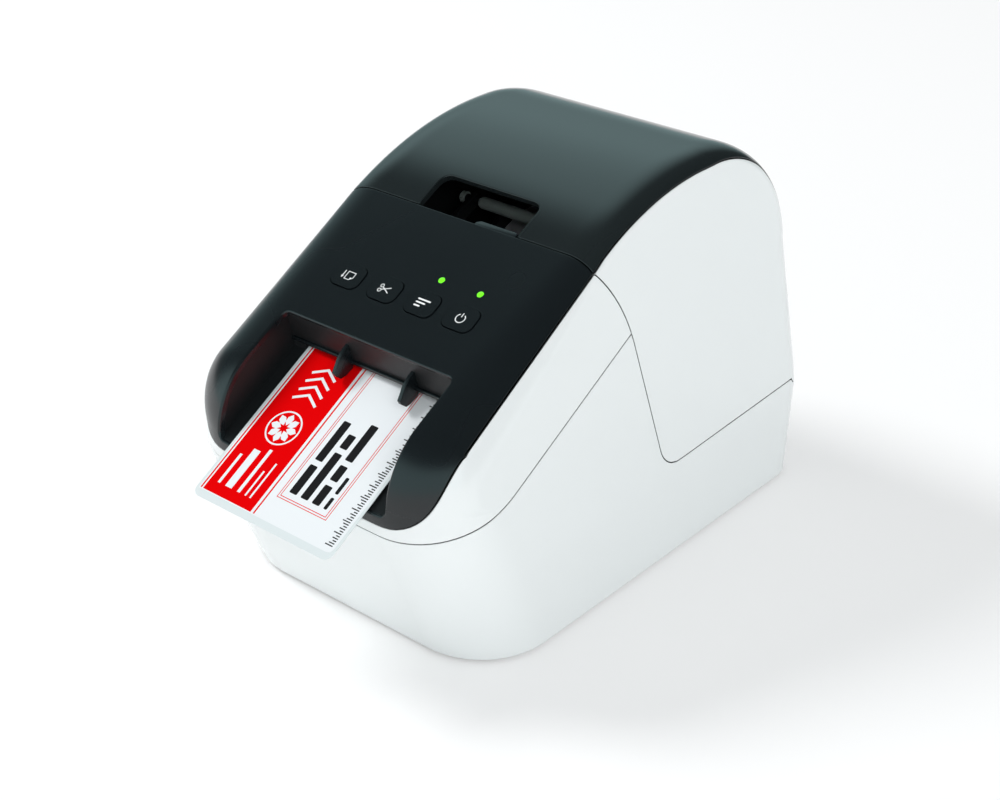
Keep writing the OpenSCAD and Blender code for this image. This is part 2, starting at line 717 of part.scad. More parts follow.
module spool_cap() {
    color([0.1, 0.1, 0.11]) place() difference() {
        union() {
            bar(flange_r, flange_x, flange_t, roll_c.x, roll_c.y);
            bar(hub_r - 2 - fit, flange_x - 10, 10 + fit, roll_c.x, roll_c.y);
            bar(arm_r, flange_x + flange_t - fit, spool_arm, roll_c.x, roll_c.y);
        }
        bar(hub_r - 4, 0, flange_x, roll_c.x, roll_c.y);
        for (k = [0:2]) translate([0, roll_c.x, roll_c.y]) rotate([120 * k + 30, 0, 0])
            bar(6, flange_x - flange_t, 3 * flange_t, 0, 22);
    }
}
core_t = 2;
module roll_core() {
    color([0.72, 0.6, 0.45]) place() difference() {
        bar(hub_r + fit + core_t, -label_w / 2, label_w, roll_c.x, roll_c.y);
        bar(hub_r + fit, -label_w, 2 * label_w, roll_c.x, roll_c.y);
    }
}
module label_roll() {
    color("white") place() difference() {
        bar(roll_r, -label_w / 2, label_w, roll_c.x, roll_c.y);
        bar(hub_r + fit + core_t, -label_w, 2 * label_w, roll_c.x, roll_c.y);
    }
}

// Paper guide between the roll and the platen, with two upright edge guides
guide_fin_x = label_w / 2 + 1.8;
guide_lip = [platen_c.x + platen_r + 1.5, path_z(nip_y) - 2];
guide_back = [roll_c.x - tub_r + 4, guide_lip.y - 9];
guide_fin_y = front_y + 110;
guide_plate_t = 1.6;
function guide_z(y) = mix(guide_lip.y, guide_back.y, (y - guide_lip.x) / (guide_back.x - guide_lip.x));
module paper_guide() {
    down = [0, guide_plate_t];
    color([0.16, 0.17, 0.19]) place() {
        across([guide_lip - down, guide_back - down, guide_back, guide_lip], 2 * tub_x);
        for (s = [-1, 1]) translate([s * guide_fin_x, guide_fin_y, guide_z(guide_fin_y) - guide_plate_t / 2])
            cylinder(r1 = 3, r2 = 1, h = 12, $fn = 24);
    }
}
lever_bar = [front_y + 123.3, 110];
lever_bar_r = 3;
lever_arm_x = 37;
lever_arm_t = 2.4;
module anti_curl_lever() {
    color([0.62, 0.66, 0.65]) place() {
        bar(lever_bar_r, -lever_arm_x, 2 * lever_arm_x, lever_bar.x, lever_bar.y);
        for (s = [-1, 1]) {
            bar(lever_bar_r, s * lever_arm_x - lever_arm_t / 2, lever_arm_t, lever_bar.x, lever_bar.y);
            bar(lever_bar_r, s * lever_arm_x - lever_arm_t / 2, lever_arm_t, lever_c.x, lever_c.y);
            u = unit(lever_bar - lever_c);
            v = [-u.y, u.x] * lever_bar_r * 0.8;
            across([lever_c + v, lever_bar + v, lever_bar - v, lever_c - v], lever_arm_t, s * lever_arm_x);
            bar(lever_pin_r, s < 0 ? -frame_x - frame_t : lever_arm_x - fit,
                frame_x + frame_t - lever_arm_x + fit, lever_c.x, lever_c.y);
        }
    }
}

// Platen
platen_half = label_w / 2 + 2;
gear_x = frame_x + frame_t + 0.8;
module platen_shaft() {
    color("silver") place()
        bar(shaft_r, -gear_x - gear_w, gear_x + gear_w + frame_x + frame_t + 1, platen_c.x, platen_c.y);
}
module platen_rubber() {
    color([0.1, 0.1, 0.1]) place() difference() {
        bar(platen_r, -platen_half, 2 * platen_half, platen_c.x, platen_c.y);
        bar(shaft_r, -2 * platen_half, 4 * platen_half, platen_c.x, platen_c.y);
    }
}
module platen_bushes() {
    color([0.85, 0.82, 0.7]) place() for (s = [-1, 1]) difference() {
        union() {
            bar(bush_r, s * (frame_x + frame_t / 2) - frame_t / 2, frame_t, platen_c.x, platen_c.y);
            bar(bush_r + 1.5, s * (frame_x - 0.6) - 0.6, 1.2, platen_c.x, platen_c.y);
        }
        bar(shaft_r + fit, s * frame_x - 4 * frame_t, 8 * frame_t, platen_c.x, platen_c.y);
    }
}

// Involute gear outline with n teeth, tooth 0 centred on the angle given
pressure_a = 20;
tooth_gap = 0.06;
function involute(t) = tan(t) * 180 / PI - t;
function flank(r, base, pitch_r, half_tooth) =
    let (t = acos(min(1, base / r))) half_tooth + involute(pressure_a) - involute(t);
module gear(n, m, w, bore, start) {
    pr = n * m / 2;
    base = pr * cos(pressure_a);
    tip = pr + 0.9 * m;
    root = pr - 1.15 * m;
    low = max(base, root + 0.02 * m);
    half_tooth = 90 / n - tooth_gap * m / pr * 180 / PI;
    shares = [0, 0.33, 0.66, 1];
    pts = [for (k = [0:n - 1]) let (c = start + k * 360 / n)
        each concat(
            [polar([0, 0], root, c - flank(low, base, pr, half_tooth) - 1)],
            [for (s = shares) let (r = mix(low, tip, s)) polar([0, 0], r, c - flank(r, base, pr, half_tooth))],
            [for (i = [3:-1:0]) let (r = mix(low, tip, shares[i])) polar([0, 0], r, c + flank(r, base, pr, half_tooth))],
            [polar([0, 0], root, c + flank(low, base, pr, half_tooth) + 1)])];
    difference() {
        linear_extrude(w) polygon(pts);
        translate([0, 0, -cut]) cylinder(r = bore, h = w + 2 * cut, $fn = facets);
    }
}
// Angle of the second gear's tooth 0, so that it meshes with the first
function mesh_start(n1, start1, n2, dir) = dir + 180 - 180 / n2 + (dir - start1) * n1 / n2;
function dir_of(v) = atan2(v.y, v.x);
pinion_start = 0;
idler_start = mesh_start(pinion_teeth, pinion_start, idler_teeth, dir_of(idler_c - motor_c));
platen_start = mesh_start(idler_teeth, idler_start, platen_teeth, dir_of(platen_c - idler_c));
module side_gear(n, bore, c, start) {
    translate([-gear_x - gear_w, c.x, c.y]) rotate([90, 0, 90]) gear(n, gear_m, gear_w, bore, start);
}
module platen_gear() {
    color([0.9, 0.9, 0.85]) place() side_gear(platen_teeth, shaft_r, platen_c, platen_start);
}
module idler_gear() {
    color([0.9, 0.9, 0.85]) place() side_gear(idler_teeth, stud_r + fit, idler_c, idler_start);
}
module motor_pinion() {
    color([0.8, 0.65, 0.3]) place() {
        side_gear(pinion_teeth, motor_shaft_r, motor_c, pinion_start);
        bar(motor_shaft_r, -gear_x - gear_w, gear_x + gear_w - frame_x + 10, motor_c.x, motor_c.y);
    }
}
module idler_stud() {
    color("silver") place() {
        bar(stud_r, -gear_x - gear_w - 0.8, gear_w + gear_x + 0.8 - frame_x, idler_c.x, idler_c.y);
        bar(stud_r + 1.5, -gear_x - gear_w - 1.6, 1.5, idler_c.x, idler_c.y);
        bar(stud_r + 1.2, -gear_x + slide_gap / 2, 0.8 - slide_gap / 2 - fit, idler_c.x, idler_c.y);
    }
}
motor_shaft_r = 1.5;
motor_boss_r = 5;
motor_l = 22;
module feed_motor() {
    color([0.7, 0.7, 0.72]) place() difference() {
        union() {
            bar(motor_r, -frame_x + fit, motor_l, motor_c.x, motor_c.y);
            bar(motor_boss_r, -frame_x - frame_t, frame_t + 2 * fit, motor_c.x, motor_c.y);
        }
        bar(motor_shaft_r + fit, -2 * frame_x, 2 * frame_x - frame_x + 11, motor_c.x, motor_c.y);
    }
}

// Print head, its bracket, pivot, springs and beam, all square to the label path
head_half = label_w / 2 + 4;
head_low = 0.25;
head_t = 3.4;
head_front = 6;
head_back = 10;
module print_head() {
    color([0.75, 0.76, 0.78]) place() on_path(nip_y)
        translate([-head_half, -head_front, head_low]) cube([2 * head_half, head_front + head_back, head_t]);
}
bracket_plate = 1;
module head_bracket() {
    low = head_low + head_t;
    color([0.5, 0.52, 0.55]) place() difference() {
        on_path(nip_y) {
            translate([-head_half, -head_front, low]) cube([2 * head_half, head_front - head_pivot_at.x, bracket_plate]);
            for (s = [-1, 1]) translate([s * (head_half - 1) - 1, -head_pivot_at.x, head_pivot_at.y])
                rotate([0, 90, 0]) cylinder(r = head_pivot_r + 1.2, h = 2, $fn = 32);
        }
        bar(head_pivot_r + fit, -2 * frame_x, 4 * frame_x, head_pivot_c.x, head_pivot_c.y);
    }
}
module head_pivot() {
    color("silver") place()
        bar(head_pivot_r, -frame_x - frame_t, 2 * (frame_x + frame_t), head_pivot_c.x, head_pivot_c.y);
}
spring_h = 3;
spring_r = 2.6;
spring_x = 22;
module head_springs() {
    low = head_low + head_t + bracket_plate;
    color("silver") place() on_path(nip_y) for (s = [-1, 1]) translate([s * spring_x, 0, low + fit])
        difference() {
            cylinder(r = spring_r, h = spring_h - 2 * fit, $fn = 24);
            translate([0, 0, -cut]) cylinder(r = spring_r - 0.6, h = spring_h + 2 * cut, $fn = 24);
        }
}
module spring_beam() {
    low = head_low + head_t + bracket_plate + spring_h;
    color([0.5, 0.52, 0.55]) place() on_path(nip_y)
        translate([-frame_x + fit, -3.5, low]) cube([2 * (frame_x - fit), 7, 1]);
}

// Cutter: a fixed blade above the path, a moving blade below it with a rack and pinion
blade_half = label_w / 2 + 4;
blade_t = 1.2;
blade_gap = 0.1;
blade_travel = 4.5;
rest_drop = 1;
vee = 2;
rack_m = 0.8;
rack_teeth = 9;
rack_tip = 0.65;
cutter_teeth = 12;
rack_x = 12;
rack_low = -36;
cutter_r = cutter_teeth * rack_m / 2;
rack_root = rack_x - 1.15 * rack_m;
module fixed_blade() {
    color([0.8, 0.8, 0.82]) place() on_path(cut_y)
        translate([-blade_half, blade_gap / 2, 0.5]) cube([2 * blade_half, blade_t, 4.2]);
}
module moving_blade() {
    edge = [[-blade_half, -12], [-8, -12], [-8, rack_low], [rack_root, rack_low], [rack_root, -12],
            [blade_half, -12], [blade_half, -rest_drop], [0, -rest_drop - vee],
            [-blade_half, -rest_drop]];
    color([0.8, 0.8, 0.82]) place() on_path(cut_y) translate([0, -blade_gap / 2, 0]) rotate([90, 0, 0]) {
        linear_extrude(blade_t) polygon(edge);
        linear_extrude(3) polygon(rack_shape());
    }
}
// Rack along the blade's travel, with straight flanks
function rack_tooth(k) =
    let (z = rack_low + 2 * rack_m + k * PI * rack_m, q = PI * rack_m / 4 - tooth_gap * rack_m,
         t = tan(pressure_a) * rack_m)
    [[rack_root, z - q - 1.15 * t], [rack_x + rack_tip * rack_m, z - q + rack_tip * t],
     [rack_x + rack_tip * rack_m, z + q - rack_tip * t], [rack_root, z + q + 1.15 * t]];
function rack_shape() = concat(
    [[rack_x - 6, rack_low], [rack_root, rack_low]],
    [for (k = [0:rack_teeth - 1]) if (rack_tooth(k)[3].y < -10) each rack_tooth(k)],
    [[rack_root, -8], [rack_x - 6, -8]]);
cutter_z = rack_low + 2 * rack_m + 4 * PI * rack_m + PI * rack_m / 2;
module cutter_pinion() {
    color([0.85, 0.85, 0.8]) place() on_path(cut_y)
        translate([rack_x + cutter_r, -blade_gap / 2 + fit, cutter_z]) rotate([90, 0, 0]) {
            gear(cutter_teeth, rack_m, 3, motor_shaft_r, 180);
            translate([0, 0, -6]) cylinder(r = motor_shaft_r, h = 9, $fn = 24);
        }
}
cutter_motor_r = 8;
cutter_motor_l = 20;
module cutter_motor() {
    color([0.65, 0.66, 0.7]) place() on_path(cut_y)
        translate([rack_x + cutter_r, 0, cutter_z]) rotate([-90, 0, 0]) difference() {
            translate([0, 0, 4]) cylinder(r = cutter_motor_r, h = cutter_motor_l, $fn = 48);
            translate([0, 0, 0]) cylinder(r = motor_shaft_r + fit, h = 7, $fn = 24);
        }
}
module cutter_frame() {
    reach = frame_x - fit;
    shape = [[-reach, -6], [reach, -6], [reach, rack_low - 2], [-10, rack_low - 2], [-10, -19], [-reach, -19]];
    color([0.5, 0.52, 0.55]) place() on_path(cut_y) difference() {
        translate([0, 3.6, 0]) rotate([90, 0, 0]) linear_extrude(1.6) polygon(shape);
        translate([rack_x + cutter_r, 0, cutter_z]) rotate([-90, 0, 0])
            cylinder(r = 4, h = 10, $fn = 32);
    }
}

// Boards and sockets
pcb_t = 1.6;
module main_board() {
    color([0.1, 0.4, 0.2]) place() {
        block(38, -20, 116, board_z + fit, pcb_t, -14);
        block(14, 8, 14, board_z + pcb_t, 1.6, -16);
        block(8, 38, 20, board_z + pcb_t, 6, -27);
        block(20, 60, 8, board_z + pcb_t, 8, -12);
    }
}
module power_board() {
    color([0.6, 0.5, 0.2]) place() {
        block(34, -40, 114, board_z + fit, pcb_t, 24);
        block(24, 10, 20, board_z + pcb_t, 10, 24);
        translate([20, -18, board_z + pcb_t]) cylinder(r = 9, h = 20, $fn = 32);
    }
}
module power_inlet() {
    back = rear_y - 24;
    color([0.1, 0.1, 0.1]) place() difference() {
        block(inlet_w, back, 22.4, inlet_z, inlet_h, inlet_x);
        for (s = [-1, 1]) translate([inlet_x + s * 4.3, back + 8, inlet_z + inlet_h / 2]) rotate([-90, 0, 0])
            cylinder(r = 4.3, h = 30, $fn = 32);
        block(8.6, back + 8, 30, inlet_z + inlet_h / 2 - 3.2, 6.4, inlet_x);
    }
}
module usb_socket() {
    back = rear_y - 17;
    color("silver") place() {
        difference() {
            block(usb_w, back, 15.8, usb_z + fit, usb_h, usb_x);
            block(usb_w - 2.4, back + 2, 20, usb_z + 1.4, usb_h - 2.8, usb_x);
        }
        block(5.6, back + 1, 12, usb_z + 4, 3, usb_x);
    }
}

// Printed label, already cut, lying in the outlet
module printed_label() {
    from = 2.4;
    reach = (cut_y - front_y + label_out) / cos(path_a);
    color("white") place() on_path(cut_y) translate([0, -reach, -label_t / 2]) difference() {
        translate([-label_w / 2, 0, 0]) cube([label_w, reach - from, label_t]);
        for (s = [-1, 1]) translate([s * label_w / 2, 0, -cut]) difference() {
            translate([-label_corner_r, -label_corner_r, 0]) cube([2 * label_corner_r, 2 * label_corner_r, 3 * cut]);
            translate([-s * label_corner_r, label_corner_r, -cut])
                cylinder(r = label_corner_r, h = 5 * cut, $fn = 32);
        }
    }
}

base_housing();
base_pan();
rubber_feet();
case_screws();
front_bezel();
front_panel();
label_guides();
button_feed();
button_cut();
button_custom();
button_power();
status_lenses();
button_board();
cover_shell();
cover_frame();
cover_hinge_arms();
hinge_brackets();
hinge_pins();
side_frame_left();
side_frame_right();
roll_tub();
spool_guides();
spool_hub();
spool_cap();
roll_core();
label_roll();
paper_guide();
anti_curl_lever();
platen_shaft();
platen_rubber();
platen_bushes();
platen_gear();
idler_gear();
idler_stud();
motor_pinion();
feed_motor();
print_head();
head_bracket();
head_pivot();
head_springs();
spring_beam();
fixed_blade();
moving_blade();
cutter_pinion();
cutter_motor();
cutter_frame();
main_board();
power_board();
power_inlet();
usb_socket();
printed_label();
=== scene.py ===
"""A desktop label printer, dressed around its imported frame. All lengths are in metres."""

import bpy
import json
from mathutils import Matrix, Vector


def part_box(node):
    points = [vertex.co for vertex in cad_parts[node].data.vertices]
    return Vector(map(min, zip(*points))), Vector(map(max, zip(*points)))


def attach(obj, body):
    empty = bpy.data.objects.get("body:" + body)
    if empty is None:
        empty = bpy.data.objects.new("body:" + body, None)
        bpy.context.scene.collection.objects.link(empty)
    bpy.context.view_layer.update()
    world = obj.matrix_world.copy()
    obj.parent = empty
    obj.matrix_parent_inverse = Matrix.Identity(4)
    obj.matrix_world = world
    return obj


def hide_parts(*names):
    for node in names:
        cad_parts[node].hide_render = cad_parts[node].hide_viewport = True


bl_info = {
    "name": "Label printer",
    "version": (1, 0, 0),
    "blender": (4, 5, 0),
    "location": "3D View > Sidebar > Label printer",
    "description": "Builds the visible mouldings, print and studio of a desktop label printer",
    "category": "Object",
}

import json
import math

import bmesh
import bpy
import numpy as np
from mathutils import Matrix, Vector

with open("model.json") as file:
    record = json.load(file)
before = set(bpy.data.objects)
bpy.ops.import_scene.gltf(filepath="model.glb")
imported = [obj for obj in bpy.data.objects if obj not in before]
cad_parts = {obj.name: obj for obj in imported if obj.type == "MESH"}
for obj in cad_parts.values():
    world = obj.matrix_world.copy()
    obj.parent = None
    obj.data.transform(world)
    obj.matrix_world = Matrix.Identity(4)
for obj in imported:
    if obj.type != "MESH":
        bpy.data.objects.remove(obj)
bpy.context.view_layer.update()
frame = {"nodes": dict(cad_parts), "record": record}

MM = 0.001
HOUSING_LOW, HOUSING_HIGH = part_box("base_housing")
COVER_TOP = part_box("cover_shell")[1].z
PREFIX = "label_printer"


# Settings that a user would change

def length(name, default, description):
    return bpy.props.FloatProperty(name=name, default=default, description=description,
                                   unit="LENGTH", precision=5)


def angle(name, default, description):
    return bpy.props.FloatProperty(name=name, default=math.radians(default),
                                   description=description, subtype="ANGLE")


def colour(name, default, description):
    return bpy.props.FloatVectorProperty(name=name, default=default, description=description,
                                         subtype="COLOR", size=3, min=0, max=1)


class BodyShape(bpy.types.PropertyGroup):
    depth: length("Depth", 204 * MM, "Depth of the body from the nose to the rear wall")
    height: length("Height", COVER_TOP, "Height of the crown above the table")
    half_width: length("Half width", HOUSING_HIGH.x, "Half the width at the knee of the sides")
    rear: length("Rear", HOUSING_HIGH.y, "Place of the rear wall")
    wall: length("Wall", 2.2 * MM, "Wall thickness of the mouldings")
    slope: angle("Panel slope", 28.5, "Angle of the key panel to the table")
    nose_radius: length("Nose radius", 30 * MM, "Radius of the nose")
    nose_height: length("Nose height", 62.8 * MM, "Height of the nose's centre")
    front_lean: angle("Front lean", 21, "Lean of the undercut front wall")
    crown_radius: length("Crown radius", 123 * MM, "Radius of the curve up to the crown")
    rear_radius: length("Rear radius", 50 * MM, "Radius of the curve down to the rear wall")
    rear_lean: angle("Rear lean", 6.6, "Lean of the rear wall")
    side_draft: angle("Side draft", 6.2, "Draft of the sides above the knee")
    knee: length("Knee", 40 * MM, "Height at which the sides are widest")
    knee_blend: length("Knee blend", 1.05 * MM, "How softly the knee is rounded")
    foot_taper: length("Foot taper", 0.9 * MM, "How far each side draws in below the knee")
    rear_taper: length("Rear taper", 1.4 * MM, "How far the rear wall draws in below the knee")
    foot: length("Foot", 1.2 * MM, "Gap between the housing and the table")
    front_corner: length("Front corner", 27 * MM, "Plan radius of the front corners")
    rear_corner: length("Rear corner", 12.6 * MM, "Plan radius of the rear corners")
    shoulder_width: length("Shoulder width", 12.5 * MM, "Width of the rounded shoulder")
    shoulder_drop: length("Shoulder drop", 5.2 * MM, "Drop of the rounded shoulder")
    nose_width: length("Nose shoulder width", 23 * MM, "Width of the rounded shoulder at the nose")
    nose_drop: length("Nose shoulder drop", 15 * MM, "Drop of the rounded shoulder at the nose")


class SeamShape(bpy.types.PropertyGroup):
    gap: length("Gap", 0.34 * MM, "Gap at each seam")
    edge: length("Edge radius", 0.28 * MM, "Radius of the moulded edge at a seam")
    height: length("Seam height", 38.6 * MM, "Height of the seam between cover and base")
    panel: length("Panel seam", 81.4 * MM, "Distance of the panel seam behind the nose")
    rise: angle("Seam rise", 2.3, "Rise of the lower seam towards the hinge")
    hinge_edge: length("Hinge edge", 5.4 * MM, "Radius of the cover's edge round its hinge")
    notch_width: length("Notch width", 43 * MM, "Width of the viewing notch")
    notch_depth: length("Notch depth", 15.4 * MM, "Depth of the viewing notch")
    notch_corner: length("Notch corner", 4 * MM, "Radius of the notch's corners")
    head_drop: length("Seam head", 3.6 * MM, "How far the seam runs straight down from the top")
    knee_back: length("Knee place", 95.34 * MM, "Distance of the seam's bend behind the nose")
    knee_height: length("Knee height", 107.3 * MM, "Height of the seam's bend")
    knee_radius: length("Knee radius", 64 * MM, "Radius of the seam's bend")
    steep: angle("Steep run", 14.37, "Lean of the seam's steep run")
    foot_radius: length("Foot radius", 11 * MM, "Radius at the foot of the steep run")
    bezel_rise: angle("Bezel rise", 26.2, "Angle of the seam between bezel and base")
    bezel_back: length("Bezel bend", 32 * MM, "Distance of the bezel seam's bend behind the nose")
    bezel_height: length("Bezel height", 62.3 * MM, "Height of the bezel seam's bend")
    bezel_radius: length("Bezel radius", 40 * MM, "Radius of the bezel seam's bend")
    bezel_fall: angle("Bezel fall", 13.6, "Angle of the bezel seam at the front")
    parting: bpy.props.FloatVectorProperty(
        name="Parting line", size=5, unit="LENGTH", precision=5,
        default=(6.3 * MM, 3.25 * MM, 4.4 * MM, 3.1 * MM, 4.8 * MM),
        description="Drop of the black's edge at the nose, seam, crown, rear curve and rear wall")
    outlet_half: length("Outlet half width", 37.4 * MM, "Half the width of the label outlet")
    outlet_back: length("Outlet back", 32.5 * MM, "Distance of the outlet's top edge from the nose")
    outlet_edge: length("Outlet edge", 0.9 * MM, "Radius of the outlet's moulded edge")
    sill: length("Sill", 63.2 * MM, "Height of the outlet's sill")
    black_low: length("Black edge", 59.4 * MM, "Height of the black panel's lower edge")


class KeyShape(bpy.types.PropertyGroup):
    width: length("Width", 11.9 * MM, "Width of a key")
    height: length("Height", 9.5 * MM, "Height of a key along the panel")
    pitch: length("Pitch", 16.5 * MM, "Pitch of the keys")
    back: length("Row", 50.5 * MM, "Distance of the key row behind the nose")
    corner: length("Corner", 3 * MM, "Corner radius of a key")
    gap: length("Gap", 0.25 * MM, "Gap round a key")
    proud: length("Proud", 0.3 * MM, "How far a key stands over the panel")
    lens_radius: length("Lens radius", 1.2 * MM, "Radius of a status lens")
    lens_up: length("Lens place", 10.6 * MM, "Distance of the lenses from the key row")


class Finish(bpy.types.PropertyGroup):
    cover_black: colour("Cover black", (0.012, 0.016, 0.017), "Gloss of the roll cover")
    panel_black: colour("Panel black", (0.0065, 0.0092, 0.0108), "Satin of the key panel")
    white: colour("White", (0.835, 0.868, 0.868), "Gloss white of the housing")
    inner_black: colour("Inner black", (0.008, 0.009, 0.010), "Plastic inside the roll bay")
    lamp_green: colour("Lamp green", (0.13, 0.75, 0.015), "Lit status lens")
    lever_grey: colour("Lever grey", (0.36, 0.43, 0.41), "Anti-curl lever")
    ink_red: colour("Red ink", (0.70, 0.0015, 0.0025), "Red print on the label")
    ink_black: colour("Black ink", (0.012, 0.012, 0.013), "Black print on the label")
    paper: colour("Paper", (0.765, 0.80, 0.82), "Face of the label stock")


def settings(name):
    return getattr(bpy.context.scene, PREFIX + "_" + name)


# Outlines and distances

def unit(v):
    return v / np.linalg.norm(v)


def out_dir(a):
    """Direction in the side view that points outward at the angle a, counted up from the front."""
    return np.array([-math.cos(a), math.sin(a)])


def corner(a, b, c, r, n=16):
    """Points of an arc that rounds corner b of the path a, b, c."""
    a, b, c = (np.asarray(p, float) for p in (a, b, c))
    u, v = unit(a - b), unit(c - b)
    half = math.acos(float(np.clip(u @ v, -1, 1))) / 2
    q = b + unit(u + v) * r / math.sin(half)
    s, e = b + u * r / math.tan(half) - q, b + v * r / math.tan(half) - q
    start = math.atan2(s[1], s[0])
    turn = (math.atan2(e[1], e[0]) - start + math.pi) % (2 * math.pi) - math.pi
    return [q + r * np.array([math.cos(start + turn * k / n), math.sin(start + turn * k / n)])
            for k in range(n + 1)]


def inside_distance(points, outline):
    """Distance of 2-D points to an outline, positive inside it."""
    a = np.asarray(outline, float)
    b = np.roll(a, -1, axis=0)
    best = np.full(len(points), 1e9)
    odd = np.zeros(len(points), bool)
    px, py = points[:, 0], points[:, 1]
    for (ax, ay), (bx, by) in zip(a, b):
        ex, ey = bx - ax, by - ay
        share = np.clip(((px - ax) * ex + (py - ay) * ey) / max(ex * ex + ey * ey, 1e-18), 0, 1)
        best = np.minimum(best, np.hypot(px - ax - share * ex, py - ay - share * ey))
        if ay != by:
            odd ^= ((ay > py) != (by > py)) & (px < ex * (py - ay) / ey + ax)
    return np.where(odd, best, -best)


def rounded_box(u, v, half_u, half_v, r):
    """Distance to a box with rounded corners, positive outside it."""
    qu, qv = np.abs(u) - half_u + r, np.abs(v) - half_v + r
    return np.hypot(np.maximum(qu, 0), np.maximum(qv, 0)) + np.minimum(np.maximum(qu, qv), 0) - r


class Body:
    """Places and curves of the body, worked out from its sizes."""

    def __init__(self):
        b, s = settings("body"), settings("seams")
        self.b, self.s = b, s
        self.front = b.rear - b.depth
        self.nose = np.array([self.front + b.nose_radius, b.nose_height])
        self.slope_dir = np.array([math.cos(b.slope), math.sin(b.slope)])
        self.slope_up = np.array([-math.sin(b.slope), math.cos(b.slope)])
        self.nose_end = self.nose + b.nose_radius * self.slope_up
        run = (b.height - b.crown_radius * (1 - math.cos(b.slope)) - self.nose_end[1]) / math.sin(b.slope)
        self.crown_start = self.nose_end + run * self.slope_dir
        self.crown = self.crown_start - b.crown_radius * self.slope_up
        lift = b.height - b.rear_radius + b.rear_radius * math.sin(b.rear_lean)
        self.rear = np.array([b.rear - b.rear_radius * math.cos(b.rear_lean)
                              - (lift - b.knee) * math.tan(b.rear_lean), b.height - b.rear_radius])
        self.above = b.height + 20 * MM
        self.beyond = b.rear + 20 * MM
        self.ahead = self.front - 24 * MM

    def slope_z(self, y):
        return self.nose_end[1] + (y - self.nose_end[0]) * math.tan(self.b.slope)

    def half_at(self, z):
        """Half width of the body at the height z, with a soft knee."""
        b = self.b
        high = -(z - b.knee) * math.tan(b.side_draft)
        low = (z - b.knee) * b.foot_taper / b.knee
        near = np.maximum(b.knee_blend - np.abs(high - low), 0) / b.knee_blend
        return b.half_width + np.minimum(high, low) - near ** 2 * b.knee_blend / 4

    def stations(self):
        """Stations of the side profile: point, outward angle, width and depth of the corner."""
        b = self.b
        low = -b.front_lean
        high = math.pi / 2 - b.slope
        end = math.pi - b.rear_lean
        rows = []

        def add(point, a, w, h):
            rows.append((point[0], point[1], a, w, h))

        start = self.nose + b.nose_radius * out_dir(low)
        foot = np.array([start[0] + start[1] * math.tan(b.front_lean), 0])
        for t in np.linspace(0, 1, 16)[:-1]:
            add(foot + (start - foot) * t, low, b.front_corner, b.front_corner)
        for t in np.linspace(0, 1, 41):
            a = low + (high - low) * t
            late = max(0.0, (t - 0.3) / 0.7)
            w = b.front_corner + (b.nose_width - b.front_corner) * late
            h = b.front_corner + (b.nose_drop - b.front_corner) * (1 - (1 - late) ** 1.6)
            add(self.nose + b.nose_radius * out_dir(a), a, w, h)
        for t in np.linspace(0, 1, 56)[1:]:
            point = self.nose_end + (self.crown_start - self.nose_end) * t
            near = (self.panel_seam()[0] - point[0]) / (self.panel_seam()[0] - self.nose_end[0])
            near = max(0.0, near)
            add(point, high, b.shoulder_width + (b.nose_width - b.shoulder_width) * near,
                b.shoulder_drop + (b.nose_drop - b.shoulder_drop) * near)
        for t in np.linspace(0, 1, 38)[1:]:
            a = high + b.slope * t
            add(self.crown + b.crown_radius * out_dir(a), a, b.shoulder_width, b.shoulder_drop)
        for t in np.linspace(0, 1, 40):
            a = math.pi / 2 + (end - math.pi / 2) * t
            h = b.shoulder_drop + (b.rear_corner - b.shoulder_drop) * t ** 3
            add(self.rear + b.rear_radius * out_dir(a), a, b.shoulder_width, h)
        last = self.rear + b.rear_radius * out_dir(end)
        knee = np.array([b.rear, b.knee])
        for t in np.linspace(0, 1, 25)[1:]:
            add(last + (knee - last) * t, end + (math.pi - end) * t, b.rear_corner, b.rear_corner)
        for t in np.linspace(0, 1, 17)[1:]:
            add(knee + np.array([-b.rear_taper, -b.knee]) * t, math.pi, b.rear_corner, b.rear_corner)
        return np.array(rows)

    def border(self):
        """Edge of the black on the shoulder, from the nose over the crown to the rear wall."""
        rows = self.stations()
        high, end = math.pi / 2 - self.b.slope, math.pi - self.b.rear_lean
        ahead_of_top = rows[:, 2] <= math.pi / 2 + 1e-9
        keep = (rows[:, 2] >= high - 1e-9) & (ahead_of_top | (rows[:, 1] > self.low_crown))
        slope_run = self.crown_start[0] - self.nose_end[0]
        line = []
        for y, z, a, w, h in rows[keep]:
            place = (min(0.0, (y - self.crown_start[0]) / slope_run) + min(1.0, (a - high) / self.b.slope)
                     + max(0.0, (a - math.pi / 2) / (end - math.pi / 2)))
            drop = np.interp(place, (-1, 0, 1, 1.44, 2), tuple(self.s.parting))
            line.append(np.array([y, z]) - out_dir(a) * drop)
        return line

    @property
    def low_crown(self):
        return self.rear[1] + self.b.rear_radius * math.sin(self.b.rear_lean) + 1.5 * MM

    def panel_seam(self):
        y = self.front + self.s.panel
        return np.array([y, self.slope_z(y)])

